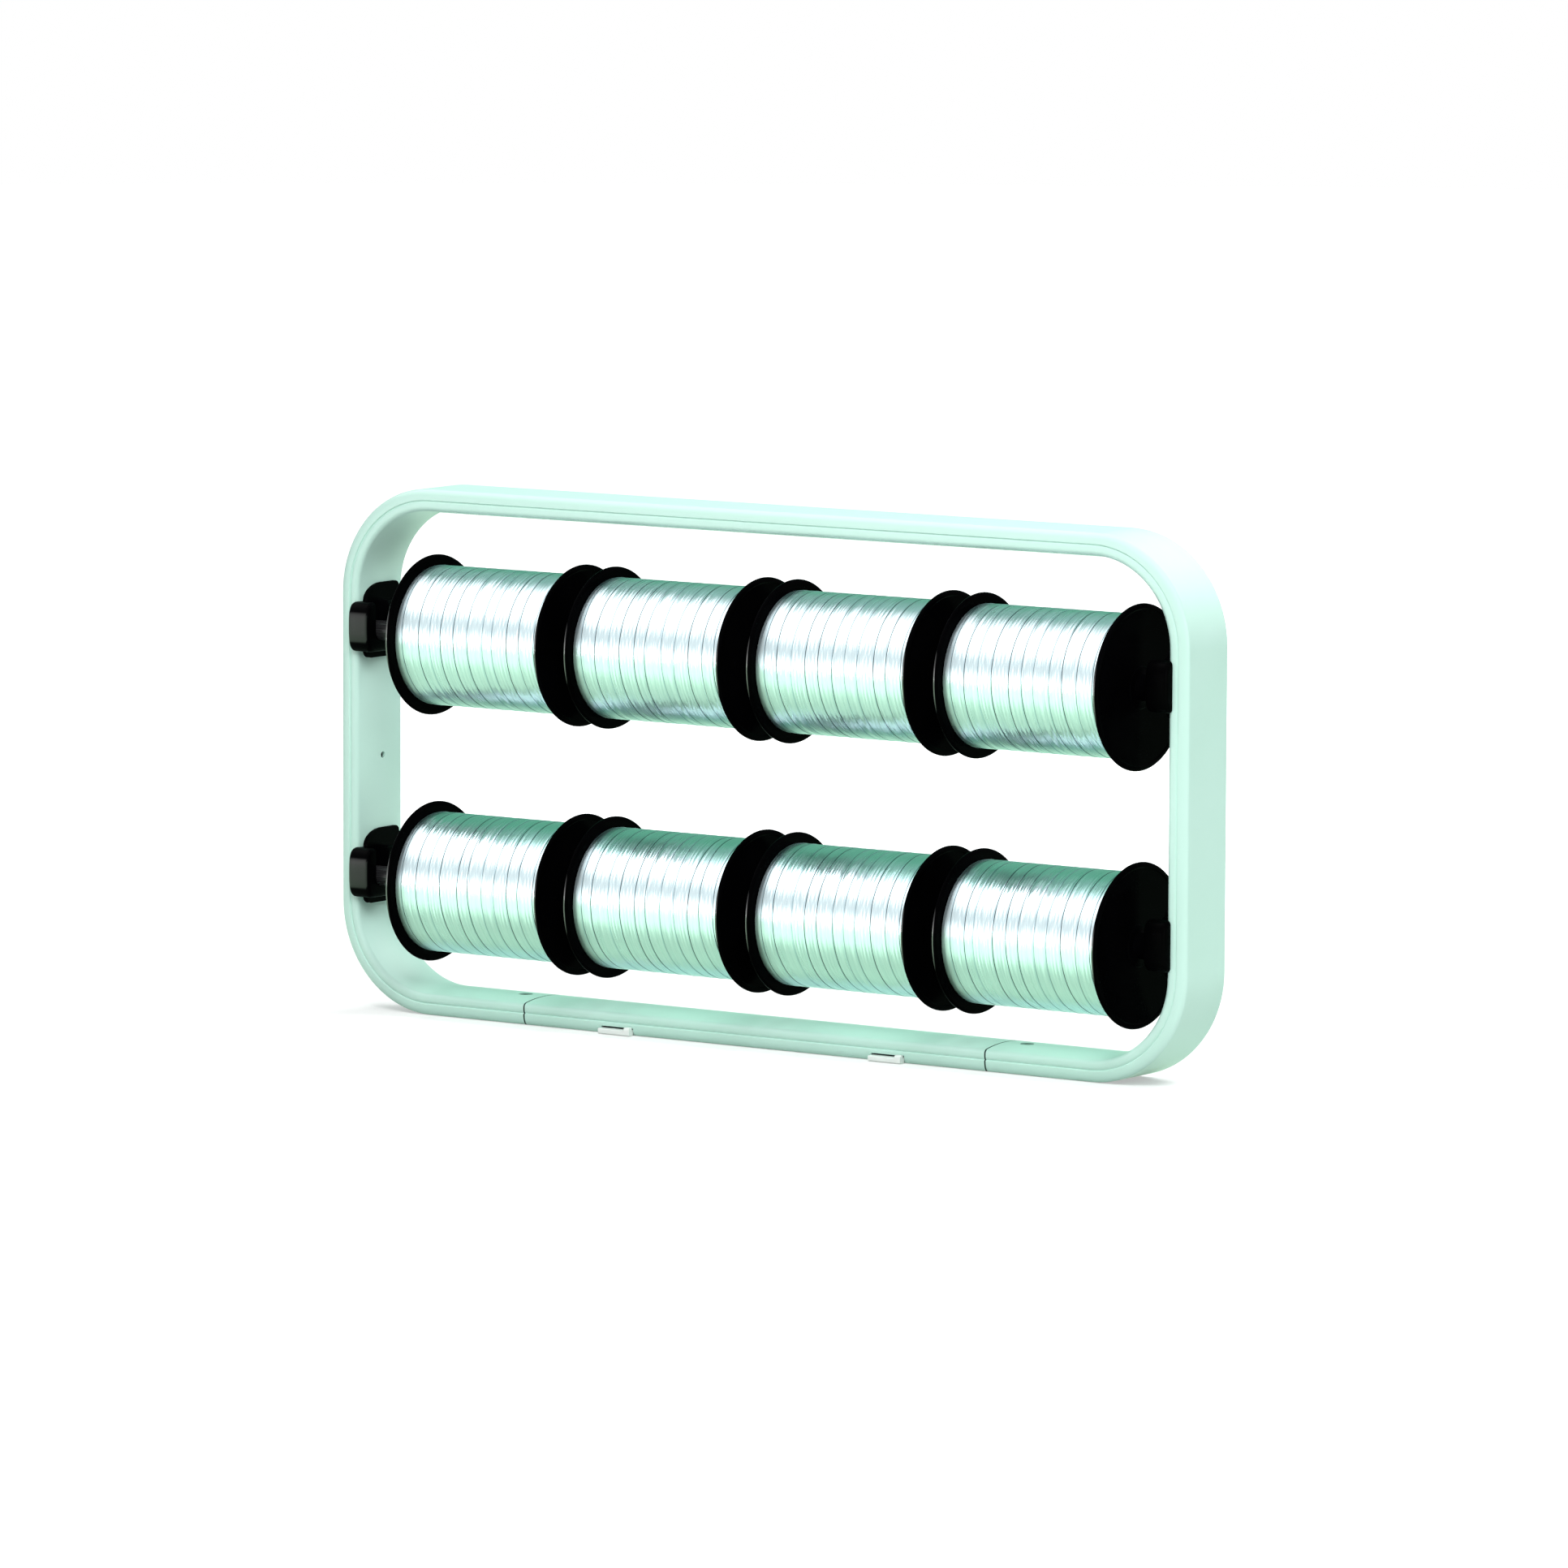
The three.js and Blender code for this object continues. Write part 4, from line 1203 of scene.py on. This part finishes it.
stand_for(band_loop, "frame_loop", "frame", mint)
stand_for(bottom_band, "bottom_insert", "frame", mint)
for name, piece in clips.items():
    stand_for(piece, f"rail_clip_{name}", "frame", clip_white)
for node, piece in screws.items():
    stand_for(piece, node, "frame", screw_metal)
for node, piece in holders.items():
    stand_for(piece, node, "frame", holder_black)
for row, piece in rods.items():
    stand_for(piece, f"rod_{row}", f"{row}_rod", rod_black)
for (row, i), piece in reels.items():
    reel_body = f"{row}_reel_{i}"
    stand_for(piece, f"reel_{row}_{i}", reel_body, reel_black)
    stand_for(rolls[row, i], f"ribbon_roll_{row}_{i}", reel_body, shade_painted_inner_film)
    stand_for(layers[row, i], f"ribbon_layer_{row}_{i}", reel_body, film)
for name in SIDES:
    for slot in bpy.data.objects[f"splice_bar_{name}"].material_slots:
        slot.material = splice_metal
print("bodies with new pieces:", 1 + len(rods) + len(reels))
print("finishes:", sorted(m.name for m in bpy.data.materials if m.users))

# %% [markdown]
# ## Floor, background and light
# The rack stands on a plain white table under soft studio light. The background is white for the
# camera and for mirrored and transmitted rays, and dimmer where it only lends light. The table is lit
# too dimly to be white by itself, so it glows for the camera, more with distance, and keeps the rack's
# shadow. Mirrored rays see a painted reflection, which the camera never does: the table glows for them
# in a green tone, more at grazing angles as a painted sheen, and darker behind the rack as painted
# shade.

# %% White floor that keeps the shadow
GLOW_NEAR, GLOW_FAR = 0.42, 0.95
NEAR_DISTANCE, FAR_DISTANCE = 0.45, 2.6
PALE_GREEN_Y, SHADED_GREEN_Y = -0.02, 0.12


def apply_place(piece):
    choose(piece)
    bpy.ops.object.transform_apply(location=True, rotation=True, scale=True)


def white_table():
    finish, tree, shader = new_finish("white_table", (0.6, 0.6, 0.6), 0.9, level=0.0)
    place = add(tree, "TexCoord").outputs["Object"]
    distance = add(tree, "VectorMath", {0: place}, operation="LENGTH").outputs["Value"]
    path = add(tree, "LightPath").outputs
    seen = calculate(tree, "MULTIPLY", path["Is Camera Ray"],
                     map_range(tree, distance, GLOW_NEAR, GLOW_FAR, NEAR_DISTANCE, FAR_DISTANCE))
    # Painted sheen: mirrored rays see the table glow more at grazing angles.
    sheen = ramp(tree, add(tree, "LayerWeight").outputs["Facing"],
                 [(0.3, 0.15), (0.45, 0.28), (0.58, 0.8)])
    mirrored = calculate(tree, "MULTIPLY", path["Is Glossy Ray"], sheen)
    # Painted shade: for mirrored rays the table turns a darker green behind the rack.
    depth = add(tree, "SeparateXYZ", {"Vector": place}).outputs["Y"]
    green = ramp(tree, map_range(tree, depth, 0.0, 1.0, PALE_GREEN_Y, SHADED_GREEN_Y),
                 [(0.0, (0.42, 0.6, 0.44)), (1.0, (0.16, 0.32, 0.22))])
    tone = add(tree, "Mix", {"Factor": path["Is Glossy Ray"], "A": (0.6, 0.6, 0.6, 1), "B": green},
               data_type="RGBA")
    feed(shader, Base_Color=tone.outputs["Result"],
         Emission_Color=ramp(tree, path["Is Glossy Ray"], [(0.0, 1.0), (1.0, (0.76, 1.0, 0.78))]),
         Emission_Strength=calculate(tree, "ADD", seen, mirrored))
    return finish


clear_selection()
bpy.ops.mesh.primitive_circle_add(vertices=64, radius=9, fill_type="NGON", location=(0, 0, -0.0002))
floor = bpy.context.object
floor.name = floor.data.name = "table_top"
apply_place(floor)
paint(floor, white_table())
print("table across, in metres:", round(floor.dimensions.x, 1))

# %% Surroundings
STRENGTH_AS_LIGHT, STRENGTH_SEEN = 0.3, 1.0
world = bpy.data.worlds.new("plain_surroundings")
bpy.context.scene.world = world
world.use_nodes = True
world_tree = world.node_tree
sky = world_tree.nodes["Background"]
sky.inputs["Color"].default_value = (1, 1, 1, 1)
rays = add(world_tree, "LightPath").outputs
not_diffuse = calculate(
    world_tree, "MAXIMUM", rays["Is Camera Ray"],
    calculate(world_tree, "MAXIMUM", rays["Is Glossy Ray"], rays["Is Transmission Ray"]))
strength = map_range(world_tree, not_diffuse, STRENGTH_AS_LIGHT, STRENGTH_SEEN)
world_tree.links.new(strength, sky.inputs["Strength"])
print("background nodes:", len(world_tree.nodes))

# %% [markdown]
# Two kinds of lamp share the work, as in a studio that lights a metal object. Large boxes over, before
# and behind the rack light its surfaces, and no mirror shows them. Cards are only there to be
# mirrored, and they decide where the ribbon shows its white bands. Most of them stand to the left. A
# narrow one among them glints on the rims of the reels, and a tall one stands on the right.

# %% Soft boxes and mirror cards
def soft_box(name, place, width, height, radiance, for_mirrors):
    """A lamp that faces the rack's middle, for lit surfaces or for mirrored rays only."""
    clear_selection()
    bpy.ops.object.light_add(type="AREA", location=place)
    lamp = bpy.context.object
    lamp.name = lamp.data.name = name
    lamp.data.shape = "RECTANGLE"
    lamp.data.size, lamp.data.size_y = width, height
    lamp.data.energy = radiance * math.pi * width * height
    forward = Vector((0, 0, FRAME_HEIGHT / 2)) - Vector(place)
    lamp.rotation_euler = forward.to_track_quat("-Z", "Y").to_euler()
    lamp.visible_diffuse = not for_mirrors
    lamp.visible_glossy = for_mirrors
    print(name, "power in watts:", round(lamp.data.energy, 1))


soft_box("overhead_box", (0.3, 0.0, 2.0), 2.2, 1.8, 1.6, for_mirrors=False)
soft_box("front_box", (1.0, -1.7, 1.95), 1.2, 1.2, 12.0, for_mirrors=False)
soft_box("back_box", (0.2, 1.7, 1.5), 2.0, 1.0, 8.0, for_mirrors=False)
soft_box("side_card", (2.4, -1.7, 0.5), 0.3, 1.0, 12.0, for_mirrors=True)
soft_box("overhead_card", (-1.08, -0.58, 1.65), 1.5, 1.42, 1.7, for_mirrors=True)
soft_box("front_card", (-1.43, -2.05, 0.33), 2.0, 0.55, 1.5, for_mirrors=True)
soft_box("glint_card", (-1.43, -2.0, 0.06), 2.6, 0.03, 12.0, for_mirrors=True)

# %% [markdown]
# The top of each winding mirrors what hangs above and behind the rack. In a studio that is a dark
# curtain, which the picture never shows. A tall card stands in for it, and only mirrored rays see it.

# %% Dark green curtain for the reflections
clear_selection()
bpy.ops.mesh.primitive_plane_add(
    size=1, location=(-1.05, 1.0, 1.52), rotation=(math.pi / 2, 0, 0))
curtain = bpy.context.object
curtain.name = curtain.data.name = "studio_curtain"
curtain.scale = (3.2, 3.0, 1)
apply_place(curtain)
curtain_finish, _, curtain_shader = new_finish("dark_curtain", (0.02, 0.03, 0.03), 0.9, level=0.0)
feed(curtain_shader, Emission_Color=(0.11, 0.4, 0.25, 1), Emission_Strength=1.0)
paint(curtain, curtain_finish)
curtain.visible_camera = curtain.visible_diffuse = curtain.visible_shadow = False
print("curtain from", [round(c, 2) for c in curtain.data.vertices[0].co])
